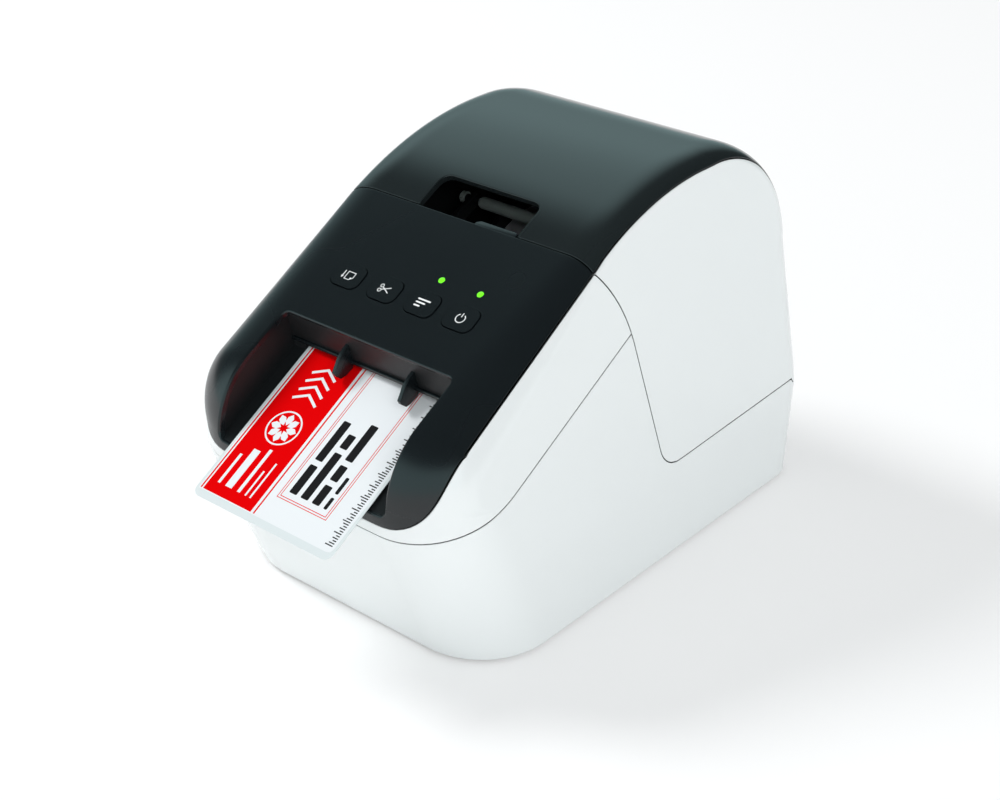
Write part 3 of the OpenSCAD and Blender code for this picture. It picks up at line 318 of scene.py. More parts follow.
    def cover_outline(self):
        b, s = self.b, self.s
        seam, out = self.panel_seam(), self.slope_up
        head = seam - np.array([0, s.head_drop])
        knee = np.array([self.front + s.knee_back, s.knee_height])
        foot = np.array([knee[0] + (knee[1] - s.height) * math.tan(s.steep), s.height])
        axis = np.array([b.rear - s.hinge_edge, s.height + s.hinge_edge])
        way = np.array([math.cos(s.rise), math.sin(s.rise)])
        along = (axis - foot) @ way
        aside = np.linalg.norm(axis - foot - along * way)
        meet = foot + way * (along - math.sqrt(s.hinge_edge ** 2 - aside ** 2))
        start = math.atan2(meet[0] - axis[0], axis[1] - meet[1])
        turn = [axis + s.hinge_edge * np.array([math.sin(a), -math.cos(a)])
                for a in np.linspace(start, math.pi / 2, 20)]
        return [seam + 20 * MM * out, seam, head, *corner(head, knee, foot, s.knee_radius),
                *corner(knee, foot, meet, s.foot_radius), *turn,
                (self.beyond, axis[1]), (self.beyond, self.above), (seam[0], self.above)]

    def crown_outline(self):
        border = self.border()
        return [*border, (border[-1][0] + 1 * MM, self.low_crown), (self.beyond, self.low_crown),
                (self.beyond, self.above), (self.ahead, self.above),
                tuple(border[0] - np.array([20 * MM, 0]))]

    def bezel_outline(self):
        s = self.s
        bend = np.array([self.front + s.bezel_back, s.bezel_height])
        far = bend + self.b.depth / 2 * np.array([math.cos(s.bezel_rise), math.sin(s.bezel_rise)])
        tip = bend + self.b.depth / 4 * np.array([-math.cos(s.bezel_fall), -math.sin(s.bezel_fall)])
        return [(far[0], self.above), tuple(far), *corner(far, bend, tip, s.bezel_radius), tuple(tip),
                (tip[0], self.above)]

    def black_side(self):
        """Side view of the black front: over the shoulder's edge and down behind the lobe."""
        border = [p for p in self.border() if p[0] < self.panel_seam()[0] + 12 * MM]
        first = border[0]
        low = self.s.black_low
        return [*border[::-1], first + np.array([4, -14]) * MM, (first[0] + 10 * MM, low),
                (self.ahead, low), (self.ahead, self.above), (border[-1][0], self.above)]

    def black_face(self):
        """Front view of the black front: both lobes and the strip under the outlet."""
        low = self.s.black_low
        start, first = np.array([54.4, 82.5]) * MM, np.array([53.9, 72]) * MM
        second, end = np.array([50.5 * MM, low]), np.array([36 * MM, low])
        half = [start + np.array([15, 48]) * MM]
        for t in np.linspace(0, 1, 25):
            half.append((1 - t) ** 3 * start + 3 * t * (1 - t) ** 2 * first
                        + 3 * t * t * (1 - t) * second + t ** 3 * end)
        return [(half[0][0], self.above), *half, *[(-p[0], p[1]) for p in half[::-1]],
                (-half[0][0], self.above)]


# Skins: a surface of points, normals and faces that is cut by fields and made into a moulding

class Skin:
    def __init__(self, points, normals, faces, edges=None):
        self.points, self.normals, self.faces = points, normals, faces
        self.edges = np.zeros(len(points)) if edges is None else edges

    def cut(self, field, edge, snap=0.04 * MM):
        """Keeps where the field is positive. The new border gets the edge radius given."""
        f = field(self.points)
        f[np.abs(f) < snap] = 0
        flat = np.concatenate(self.faces)
        starts = np.cumsum([0] + [len(x) for x in self.faces[:-1]])
        low = np.minimum.reduceat(f[flat], starts)
        high = np.maximum.reduceat(f[flat], starts)
        whole, split = low >= 0, (low < 0) & (high > 0)
        crossing = {}
        for i in np.flatnonzero(split):
            face = self.faces[i]
            for a, b in zip(face, np.roll(face, -1)):
                if f[a] * f[b] < 0:
                    crossing.setdefault((min(a, b), max(a, b)), len(crossing))
        points, normals, edges = self.points, self.normals, self.edges.copy()
        edges[f == 0] = edge
        if crossing:
            pair = np.array(list(crossing))
            pa, pb = points[pair[:, 0]], points[pair[:, 1]]
            fa, fb = f[pair[:, 0]], f[pair[:, 1]]
            lo, hi = np.zeros(len(pair)), np.ones(len(pair))
            flo, fhi = fa.copy(), fb.copy()
            for _ in range(8):
                t = lo + (hi - lo) * np.clip(flo / (flo - fhi), 0.1, 0.9)
                ft = field(pa + (pb - pa) * t[:, None])
                left = ft * flo > 0
                lo, flo = np.where(left, t, lo), np.where(left, ft, flo)
                hi, fhi = np.where(left, hi, t), np.where(left, fhi, ft)
            t = lo + (hi - lo) * flo / (flo - fhi + 1e-30)
            t = t[:, None]
            made = self.normals[pair[:, 0]] * (1 - t) + self.normals[pair[:, 1]] * t
            made /= np.linalg.norm(made, axis=1)[:, None]
            base = len(points)
            points = np.vstack([points, pa + (pb - pa) * t])
            normals = np.vstack([normals, made])
            edges = np.concatenate([edges, np.full(len(pair), edge)])
        faces = [self.faces[i] for i in np.flatnonzero(whole & (high > 0))]
        for i in np.flatnonzero(split):
            face, kept = self.faces[i], []
            for a, b in zip(face, np.roll(face, -1)):
                if f[a] >= 0:
                    kept.append(a)
                if f[a] * f[b] < 0:
                    kept.append(base + crossing[(min(a, b), max(a, b))])
            if len(kept) > 2:
                faces.append(np.array(kept))
        return Skin(points, normals, faces, edges).packed()

    def packed(self):
        """Drops points that no face uses."""
        used = np.unique(np.concatenate(self.faces))
        new = np.full(len(self.points), -1)
        new[used] = np.arange(len(used))
        return Skin(self.points[used], self.normals[used], [new[x] for x in self.faces],
                    self.edges[used])

    def borders(self):
        """Closed loops of border points, with the surface on their left."""
        directed = {(a, b) for face in self.faces for a, b in zip(face, np.roll(face, -1))}
        follow = {}
        for a, b in directed:
            if (b, a) not in directed:
                follow.setdefault(a, []).append(b)
        loops = []
        while follow:
            start = next(iter(follow))
            loop, at = [start], start
            while True:
                ends = follow[at]
                following = ends.pop()
                if not ends:
                    del follow[at]
                if following == start:
                    break
                loop.append(following)
                at = following
            loops.append(np.array(loop))
        return loops

    def moulding(self, wall, steps=3):
        """A closed shell under the skin, with a rounded edge along every border."""
        n = len(self.points)
        points = [self.points, self.points - self.normals * wall]
        faces = [tuple(x) for x in self.faces] + [tuple(n + i for i in x[::-1]) for x in self.faces]
        normals = [self.normals[i] for x in self.faces for i in x]
        normals += [-self.normals[i] for x in self.faces for i in x[::-1]]
        base = 2 * n
        for loop in self.borders():
            p, up, r = self.points[loop], self.normals[loop], self.edges[loop][:, None]
            along = np.roll(p, -2, axis=0) - np.roll(p, 2, axis=0)
            out = np.cross(along, up)
            out /= np.maximum(np.linalg.norm(out, axis=1), 1e-12)[:, None]
            count = len(loop)
            rings, ups = [loop], [up]
            for k in range(1, steps + 1):
                a = math.pi / 2 * k / steps
                points.append(p + r * (math.sin(a) * out - (1 - math.cos(a)) * up))
                rings.append(np.arange(base, base + count))
                ups.append(math.cos(a) * up + math.sin(a) * out)
                base += count
            points.append(p + r * out - wall * up)
            rings.append(np.arange(base, base + count))
            ups.append(out)
            base += count
            rings.append(loop + n)
            ups.append(-up)
            for k in range(len(rings) - 1):
                first, second = rings[k], rings[k + 1]
                na, nb = ups[k], ups[k + 1]
                if k == len(rings) - 2:
                    na = nb
                for i in range(count):
                    j = (i + 1) % count
                    faces.append((first[j], first[i], second[i], second[j]))
                    normals += [na[j], na[i], nb[i], nb[j]]
        return np.vstack(points), faces, normals


def body_skin(body):
    """The whole outer surface of the body as one skin."""
    rows = body.stations()
    y, z, a, w, h = rows.T
    turn = np.clip(a, 0, math.pi)
    deep = np.stack([-np.cos(turn), np.sin(turn)], axis=1)
    point = np.stack([y, z], axis=1)
    edge = point - deep * h[:, None]
    half = body.half_at(edge[:, 1])
    arcs = np.linspace(math.pi / 2, 0, 17)
    corner_x = [half - w * (1 - math.sin(t)) for t in arcs]
    corner_p = [point - deep * (h * (1 - math.cos(t)))[:, None] for t in arcs]
    flat = np.linspace(-1, 1, 75)[1:-1]
    columns = [np.column_stack([-x, p]) for x, p in zip(corner_x, corner_p)]
    columns += [np.column_stack([(half - w) * t, point]) for t in flat]
    columns += [np.column_stack([x, p]) for x, p in zip(corner_x[::-1], corner_p[::-1])]
    grid = np.stack(columns, axis=1)
    normal = np.cross(np.gradient(grid, axis=1), np.gradient(grid, axis=0))
    normal /= np.linalg.norm(normal, axis=2)[:, :, None]
    rows_n, cols_n = grid.shape[:2]
    index = np.arange(rows_n * cols_n).reshape(rows_n, cols_n)
    points, normals = [grid.reshape(-1, 3)], [normal.reshape(-1, 3)]
    faces = [np.array(q) for q in np.stack(
        [index[:-1, :-1], index[:-1, 1:], index[1:, 1:], index[1:, :-1]], axis=-1).reshape(-1, 4)]
    if normal[rows_n // 2, cols_n // 2, 2] < 0:
        normals[0] = -normals[0]
    # Each side is a fan of rings from its outline to a point in the middle
    heart = np.array([body.rear[0], body.b.knee])
    floor_y = np.linspace(edge[-1, 0], edge[0, 0], 74)[1:-1]
    outline = np.vstack([edge, np.column_stack([floor_y, np.zeros_like(floor_y)])])
    base, shares = len(points[0]), np.linspace(0, 1, 34)[:-1]
    slope = (body.half_at(z + 1e-5) - body.half_at(z - 1e-5)) / 2e-5
    for side, column in ((-1, 0), (1, cols_n - 1)):
        rings = []
        for k, share in enumerate(shares):
            flat_points = outline + (heart - outline) * share
            x = side * body.half_at(flat_points[:, 1])
            lean = (body.half_at(flat_points[:, 1] + 1e-5) - body.half_at(flat_points[:, 1] - 1e-5)) / 2e-5
            up = np.column_stack([np.full(len(x), float(side)), np.zeros(len(x)), -lean])
            up /= np.linalg.norm(up, axis=1)[:, None]
            ring_points = np.column_stack([x, flat_points])
            if k == 0:
                shared = index[:, column]
                extra = np.arange(base, base + len(outline) - rows_n)
                rings.append(np.concatenate([shared, extra]))
                mixed = normals[0][shared] + up[:rows_n]
                normals[0][shared] = mixed / np.linalg.norm(mixed, axis=1)[:, None]
                points.append(ring_points[rows_n:])
                normals.append(up[rows_n:])
                base += len(extra)
            else:
                rings.append(np.arange(base, base + len(outline)))
                points.append(ring_points)
                normals.append(up)
                base += len(outline)
        points.append(np.array([[side * body.half_at(heart[1]), *heart]]))
        normals.append(np.array([[side, 0.0, 0.0]]))
        middle = base
        base += 1
        count = len(outline)
        for k in range(len(rings) - 1):
            for i in range(count):
                j = (i + 1) % count
                quad = [rings[k][i], rings[k][j], rings[k + 1][j], rings[k + 1][i]]
                faces.append(np.array(quad if side < 0 else quad[::-1]))
        for i in range(count):
            tri = [rings[-1][i], rings[-1][(i + 1) % count], middle]
            faces.append(np.array(tri if side < 0 else tri[::-1]))
    points, normals = np.vstack(points), np.vstack(normals)
    # Faces are turned so that they run anticlockwise seen from outside
    turned = []
    for face in faces:
        a, b, c = points[face[0]], points[face[1]], points[face[2]]
        way = np.cross(b - a, c - a) @ normals[face].sum(axis=0)
        if way == 0 and len(face) == 4:
            way = np.cross(c - a, points[face[3]] - a) @ normals[face].sum(axis=0)
        turned.append(face if way > 0 else face[::-1])
    return Skin(points, normals, turned)


# Mesh and object helpers

def new_object(name, mesh, material, rides, replaces=()):
    obj = bpy.data.objects.new(name, mesh)
    bpy.context.scene.collection.objects.link(obj)
    if material is not None:
        mesh.materials.append(material)
    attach(obj, rides)
    if replaces:
        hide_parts(*replaces)
    return obj


def moulding_object(name, skin, wall, material, rides, replaces=()):
    points, faces, normals = skin.moulding(wall)
    mesh = bpy.data.meshes.new(name)
    mesh.from_pydata([tuple(p) for p in points], [], faces)
    mesh.polygons.foreach_set("use_smooth", [True] * len(mesh.polygons))
    mesh.normals_split_custom_set([tuple(v) for v in normals])
    mesh.update()
    return new_object(name, mesh, material, rides, replaces)


def finished_mesh(name, bm, smooth=35):
    mesh = bpy.data.meshes.new(name)
    bmesh.ops.recalc_face_normals(bm, faces=bm.faces)
    bm.to_mesh(mesh)
    bm.free()
    mesh.polygons.foreach_set("use_smooth", [True] * len(mesh.polygons))
    mesh.set_sharp_from_angle(angle=math.radians(smooth))
    return mesh


def prism(bm, outline, axis_from, axis_to, matrix=None):
    """Adds an outline drawn in X and Y, drawn out along Z, and returns its points."""
    low = [bm.verts.new((p[0], p[1], axis_from)) for p in outline]
    high = [bm.verts.new((p[0], p[1], axis_to)) for p in outline]
    bm.faces.new(low[::-1])
    bm.faces.new(high)
    for i in range(len(outline)):
        j = (i + 1) % len(outline)
        bm.faces.new((low[i], low[j], high[j], high[i]))
    made = low + high
    if matrix is not None:
        bmesh.ops.transform(bm, matrix=matrix, verts=made)
    return made


def across(x):
    """Turns an outline drawn as (Y, Z) so that it is drawn out along X from x."""
    return Matrix(((0, 0, 1, x), (1, 0, 0, 0), (0, 1, 0, 0), (0, 0, 0, 1)))


def soften(bm, width, verts=None, least=30, segments=3):
    """Rounds the edges that are sharper than the least angle."""
    chosen = set(verts) if verts else None
    edges = [e for e in bm.edges if len(e.link_faces) == 2
             and e.calc_face_angle(0) > math.radians(least)
             and (chosen is None or (e.verts[0] in chosen and e.verts[1] in chosen))]
    bmesh.ops.bevel(bm, geom=edges, offset=width, segments=segments, profile=0.5, affect="EDGES",
                    clamp_overlap=True)


def tilted(origin, a):
    """A frame whose X lies along the object's X and whose Y climbs to the rear at the angle a."""
    return Matrix.Translation(origin) @ Matrix.Rotation(a, 4, "X")


def on_panel(body, x, back):
    y = body.front + back
    return tilted((x, y, body.slope_z(y)), body.b.slope)


# Effects that several finishes share

def group(name, inputs, outputs):
    tree = bpy.data.node_groups.new(name, "ShaderNodeTree")
    for label, default in inputs:
        socket = tree.interface.new_socket(name=label, in_out="INPUT", socket_type="NodeSocketFloat")
        socket.default_value = default
    for label, kind in outputs:
        tree.interface.new_socket(name=label, in_out="OUTPUT", socket_type=kind)
    return tree, tree.nodes.new("NodeGroupInput"), tree.nodes.new("NodeGroupOutput")


def make_grain():
    """Fine moulded grain: a height and a slow drift of tone."""
    tree, inside, outside = group("moulded_grain", [("Scale", 4000), ("Detail", 2), ("Drift", 30)],
                                  [("Height", "NodeSocketFloat"), ("Tone", "NodeSocketFloat")])
    where = tree.nodes.new("ShaderNodeTexCoord")
    fine, slow = tree.nodes.new("ShaderNodeTexNoise"), tree.nodes.new("ShaderNodeTexNoise")
    slow.inputs["Detail"].default_value = 1
    link = tree.links.new
    for noise, size in ((fine, "Scale"), (slow, "Drift")):
        link(where.outputs["Object"], noise.inputs["Vector"])
        link(inside.outputs[size], noise.inputs["Scale"])
    link(inside.outputs["Detail"], fine.inputs["Detail"])
    link(fine.outputs["Fac"], outside.inputs["Height"])
    link(slow.outputs["Fac"], outside.inputs["Tone"])
    return tree


def make_brushed():
    """Fine lines along X, as a brushed or ground metal has."""
    tree, inside, outside = group("brushed_lines", [("Scale", 900), ("Stretch", 0.02)],
                                  [("Height", "NodeSocketFloat"), ("Tone", "NodeSocketFloat")])
    where = tree.nodes.new("ShaderNodeTexCoord")
    stretch = tree.nodes.new("ShaderNodeMapping")
    both = tree.nodes.new("ShaderNodeCombineXYZ")
    both.inputs["Y"].default_value = 1
    both.inputs["Z"].default_value = 1
    noise = tree.nodes.new("ShaderNodeTexNoise")
    link = tree.links.new
    link(inside.outputs["Stretch"], both.inputs["X"])
    link(where.outputs["Object"], stretch.inputs["Vector"])
    link(both.outputs["Vector"], stretch.inputs["Scale"])
    link(stretch.outputs["Vector"], noise.inputs["Vector"])
    link(inside.outputs["Scale"], noise.inputs["Scale"])
    link(noise.outputs["Fac"], outside.inputs["Height"])
    link(noise.outputs["Fac"], outside.inputs["Tone"])
    return tree


class Finishes:
    """Every material of the printer, made once and looked up by name."""

    def __init__(self):
        self.grain, self.brushed = make_grain(), make_brushed()
        self.made = {}

    def base(self, name, colour_value, rough, metal=0.0, gleam=0.5, ior=1.5):
        material = bpy.data.materials.new(name)
        material.use_nodes = True
        shader = material.node_tree.nodes["Principled BSDF"]
        shader.inputs["Base Color"].default_value = (*colour_value, 1)
        shader.inputs["Roughness"].default_value = rough
        shader.inputs["Metallic"].default_value = metal
        shader.inputs["IOR"].default_value = ior
        shader.inputs["Specular IOR Level"].default_value = gleam
        return material, shader

    def textured(self, name, colour_value, rough, tree, sizes, bump, tone=0.06, rough_span=0.05,
                 distance=0.02 * MM, **more):
        """A finish whose tone, roughness and bump come from one of the shared effects."""
        material, shader = self.base(name, colour_value, rough, **more)
        nodes, link = material.node_tree.nodes, material.node_tree.links.new
        effect = nodes.new("ShaderNodeGroup")
        effect.node_tree = tree
        for label, value in sizes.items():
            effect.inputs[label].default_value = value
        ramp = nodes.new("ShaderNodeMix")
        ramp.data_type = "RGBA"
        ramp.inputs["A"].default_value = (*[c * (1 - tone) for c in colour_value], 1)
        ramp.inputs["B"].default_value = (*[min(1, c * (1 + tone)) for c in colour_value], 1)
        link(effect.outputs["Tone"], ramp.inputs["Factor"])
        link(ramp.outputs["Result"], shader.inputs["Base Color"])
        span = nodes.new("ShaderNodeMapRange")
        span.inputs["To Min"].default_value = max(0, rough - rough_span)
        span.inputs["To Max"].default_value = rough + rough_span
        link(effect.outputs["Tone"], span.inputs["Value"])
        link(span.outputs["Result"], shader.inputs["Roughness"])
        relief = nodes.new("ShaderNodeBump")
        relief.inputs["Strength"].default_value = bump
        relief.inputs["Distance"].default_value = distance
        link(effect.outputs["Height"], relief.inputs["Height"])
        link(relief.outputs["Normal"], shader.inputs["Normal"])
        return material

    def plastic(self, name, colour_value, rough, grain=4000, bump=0.15, **more):
        return self.textured(name, colour_value, rough, self.grain,
                             {"Scale": grain, "Detail": 2, "Drift": 25}, bump, **more)

    def with_painted_crevice_shade(self, material, reach=0.9 * MM, dark=0.03):
        """Paints shade into a finish's colour in narrow gaps, where little light gets in: an ambient occlusion mask
        darkens the base colour.
        """
        nodes, link = material.node_tree.nodes, material.node_tree.links.new
        shader = nodes["Principled BSDF"]
        came = shader.inputs["Base Color"].links[0].from_socket
        # Painted shade: the occlusion mask blends the base colour towards the dark tone in seams and gaps.
        crevice_shade_mask = nodes.new("ShaderNodeAmbientOcclusion")
        crevice_shade_mask.samples = 8
        crevice_shade_mask.inputs["Distance"].default_value = reach
        span = nodes.new("ShaderNodeMapRange")
        span.inputs["From Min"].default_value = 0.2
        span.inputs["From Max"].default_value = 0.85
        mix = nodes.new("ShaderNodeMix")
        mix.data_type = "RGBA"
        mix.inputs["A"].default_value = (dark, dark, dark, 1)
        link(crevice_shade_mask.outputs["AO"], span.inputs["Value"])
        link(span.outputs["Result"], mix.inputs["Factor"])
        link(came, mix.inputs["B"])
        link(mix.outputs["Result"], shader.inputs["Base Color"])
        return material

    def metal(self, name, colour_value, rough, bump=0.2, scale=900, stretch=0.03, **more):
        return self.textured(name, colour_value, rough, self.brushed,
                             {"Scale": scale, "Stretch": stretch}, bump, metal=1.0, tone=0.12, **more)

    def get(self, name):
        if name not in self.made:
            self.made[name] = getattr(self, name)()
        return self.made[name]

    def gloss_black(self):
        return self.plastic("gloss_black", settings("finish").cover_black, 0.16, grain=900, bump=0.01,
                            rough_span=0.02, tone=0.05)

    def satin_black(self):
        return self.plastic("satin_black", settings("finish").panel_black, 0.27, grain=5200, bump=0.12,
                            rough_span=0.03, distance=0.01 * MM)

    def gloss_white(self):
        # The gloss white's colour carries painted shade in its seams and gaps.
        return self.with_painted_crevice_shade(self.plastic("gloss_white", settings("finish").white, 0.2, grain=1500,
                                          bump=0.01, tone=0.006, rough_span=0.02))

    def inner_black(self):
        return self.plastic("inner_black", settings("finish").inner_black, 0.5, grain=2600, bump=0.35)

    def lever_grey(self):
        return self.plastic("lever_grey", settings("finish").lever_grey, 0.36, grain=3000, bump=0.1,
                            tone=0.03)

    def lamp_green(self):
        value = settings("finish").lamp_green
        material, shader = self.base("lamp_green", value, 0.2)
        shader.inputs["Emission Color"].default_value = (*value, 1)
        shader.inputs["Emission Strength"].default_value = 0.75
        return material

    def icon_white(self):
        return self.plastic("icon_white", (0.80, 0.82, 0.82), 0.45, bump=0.05, tone=0.01)

    def dark_pan(self):
        return self.plastic("dark_pan", (0.03, 0.032, 0.035), 0.55, grain=2400, bump=0.35)

    def rubber(self):
        return self.plastic("rubber", (0.012, 0.012, 0.012), 0.75, grain=3500, bump=0.3)

    def gear_ivory(self):
        return self.plastic("gear_ivory", (0.72, 0.70, 0.62), 0.35, grain=1200, bump=0.08, tone=0.03)

    def socket_black(self):
        return self.plastic("socket_black", (0.012, 0.012, 0.013), 0.4, grain=3800, bump=0.2)

    def card(self):
        return self.plastic("card", (0.36, 0.25, 0.15), 0.8, grain=1500, bump=0.5, tone=0.2)

    def paper(self):
        return self.plastic("paper", settings("finish").paper, 0.42, grain=2600, bump=0.06, tone=0.008,
                            rough_span=0.03, gleam=0.25)

    def liner(self):
        return self.plastic("liner", (0.66, 0.72, 0.73), 0.3, grain=1800, bump=0.04, tone=0.01,
                            gleam=0.3)

    def steel(self):
        return self.metal("steel", (0.62, 0.63, 0.65), 0.24)

    def zinc_sheet(self):
        return self.metal("zinc_sheet", (0.55, 0.57, 0.58), 0.42, scale=260, stretch=0.5)

    def brass(self):
        return self.metal("brass", (0.78, 0.58, 0.26), 0.25)

    def blade_steel(self):
        return self.metal("blade_steel", (0.7, 0.71, 0.73), 0.18, stretch=0.008)

    def head_alloy(self):
        return self.metal("head_alloy", (0.72, 0.73, 0.75), 0.32, scale=600)

    def board_green(self):
        return self.plastic("board_green", (0.012, 0.09, 0.035), 0.35, grain=350, bump=0.15, tone=0.25)

    def ink_red(self):
        return self.plastic("ink_red", settings("finish").ink_red, 0.42, grain=2600, bump=0.05, tone=0.02,
                            gleam=0.0)

    def ink_black(self):
        return self.plastic("ink_black", settings("finish").ink_black, 0.45, grain=2600, bump=0.05,
                            gleam=0.12)

    def wound_paper(self):
        """Label stock wound on its core: fine rings on the ends of the roll."""
        material, shader = self.base("wound_paper", settings("finish").paper, 0.6)
        nodes, link = material.node_tree.nodes, material.node_tree.links.new
        low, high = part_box("label_roll")
        where = nodes.new("ShaderNodeTexCoord")
        shift = nodes.new("ShaderNodeVectorMath")
        shift.operation = "SUBTRACT"
        shift.inputs[1].default_value = (low + high) / 2
        flat = nodes.new("ShaderNodeVectorMath")
        flat.operation = "MULTIPLY"
        flat.inputs[1].default_value = (0, 1, 1)
        size = nodes.new("ShaderNodeVectorMath")
        size.operation = "LENGTH"
        wave = nodes.new("ShaderNodeMath")
        wave.operation = "MULTIPLY"
        wave.inputs[1].default_value = 2 * math.pi / (0.35 * MM)
        sine = nodes.new("ShaderNodeMath")
        sine.operation = "SINE"
        ramp = nodes.new("ShaderNodeMix")
        ramp.data_type = "RGBA"
        value = settings("finish").paper
        ramp.inputs["A"].default_value = (*[c * 0.8 for c in value], 1)
        ramp.inputs["B"].default_value = (*value, 1)
        link(where.outputs["Object"], shift.inputs[0])
        link(shift.outputs["Vector"], flat.inputs[0])
        link(flat.outputs["Vector"], size.inputs[0])
        link(size.outputs["Value"], wave.inputs[0])
        link(wave.outputs["Value"], sine.inputs[0])
        link(sine.outputs["Value"], ramp.inputs["Factor"])
        link(ramp.outputs["Result"], shader.inputs["Base Color"])
        return material


STORE = {}


def finishes():
    if "finishes" not in STORE:
        STORE["finishes"] = Finishes()
    return STORE["finishes"]


def shape():
    """The body's curves and its whole outer surface, worked out once."""
    if "shape" not in STORE:
        body = Body()
        STORE["shape"] = body, body_skin(body)
    return STORE["shape"]


def side_field(outline, keep=1, shrink=0.0):
    """A field from an outline in the side view: positive inside it, or outside where keep is -1."""
    return lambda p: keep * inside_distance(p[:, 1:3], outline) - shrink


# Operators, one for each piece or group of like pieces

class PieceOperator(bpy.types.Operator):
    bl_options = {"REGISTER", "UNDO"}

    def execute(self, context):
        self.build()
        return {"FINISHED"}


def seam_room():
    s = settings("seams")
    return s.gap / 2 + s.edge


class MakeHousing(PieceOperator):
    """Make the white base housing"""
    bl_idname = PREFIX + ".housing"
    bl_label = "Base housing"

    def build(self):
        body, skin = shape()
        s, room = body.s, seam_room()
        for field in (side_field(body.cover_outline(), -1, room),
                      side_field(body.bezel_outline(), -1, room),
                      lambda p: p[:, 2] - body.b.foot - s.edge):
            skin = skin.cut(field, s.edge)
        for node in ("power_inlet", "usb_socket"):
            low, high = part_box(node)
            u, v = (low.x + high.x) / 2, (low.z + high.z) / 2
            half_u, half_v = (high.x - low.x) / 2 + 0.3 * MM, (high.z - low.z) / 2 + 0.3 * MM
            skin = skin.cut(lambda p: np.where(
                p[:, 1] > body.b.rear - 20 * MM,
                rounded_box(p[:, 0] - u, p[:, 2] - v, half_u, half_v, 0.6 * MM) - s.edge,
                1.0), s.edge)
        moulding_object("housing_moulding", skin, body.b.wall, finishes().get("gloss_white"), "base",
                        ["base_housing"])


class MakeBezel(PieceOperator):
    """Make the white front bezel"""
    bl_idname = PREFIX + ".bezel"
    bl_label = "Front bezel"

    def build(self):
        body, skin = shape()
        s, room = body.s, seam_room()
        side, face = body.black_side(), body.black_face()

        def outside_black(p):
            within = np.minimum(inside_distance(p[:, 1:3], side),
                                inside_distance(p[:, ::2].copy(), face))
            return -within - room

        for field in (side_field(body.bezel_outline(), 1, room),
                      side_field(body.cover_outline(), -1, room), outside_black):
            skin = skin.cut(field, s.edge)
        moulding_object("bezel_moulding", skin, body.b.wall, finishes().get("gloss_white"), "base",
                        ["front_bezel"])


def key_x(i):
    return (i - 1.5) * settings("keys").pitch


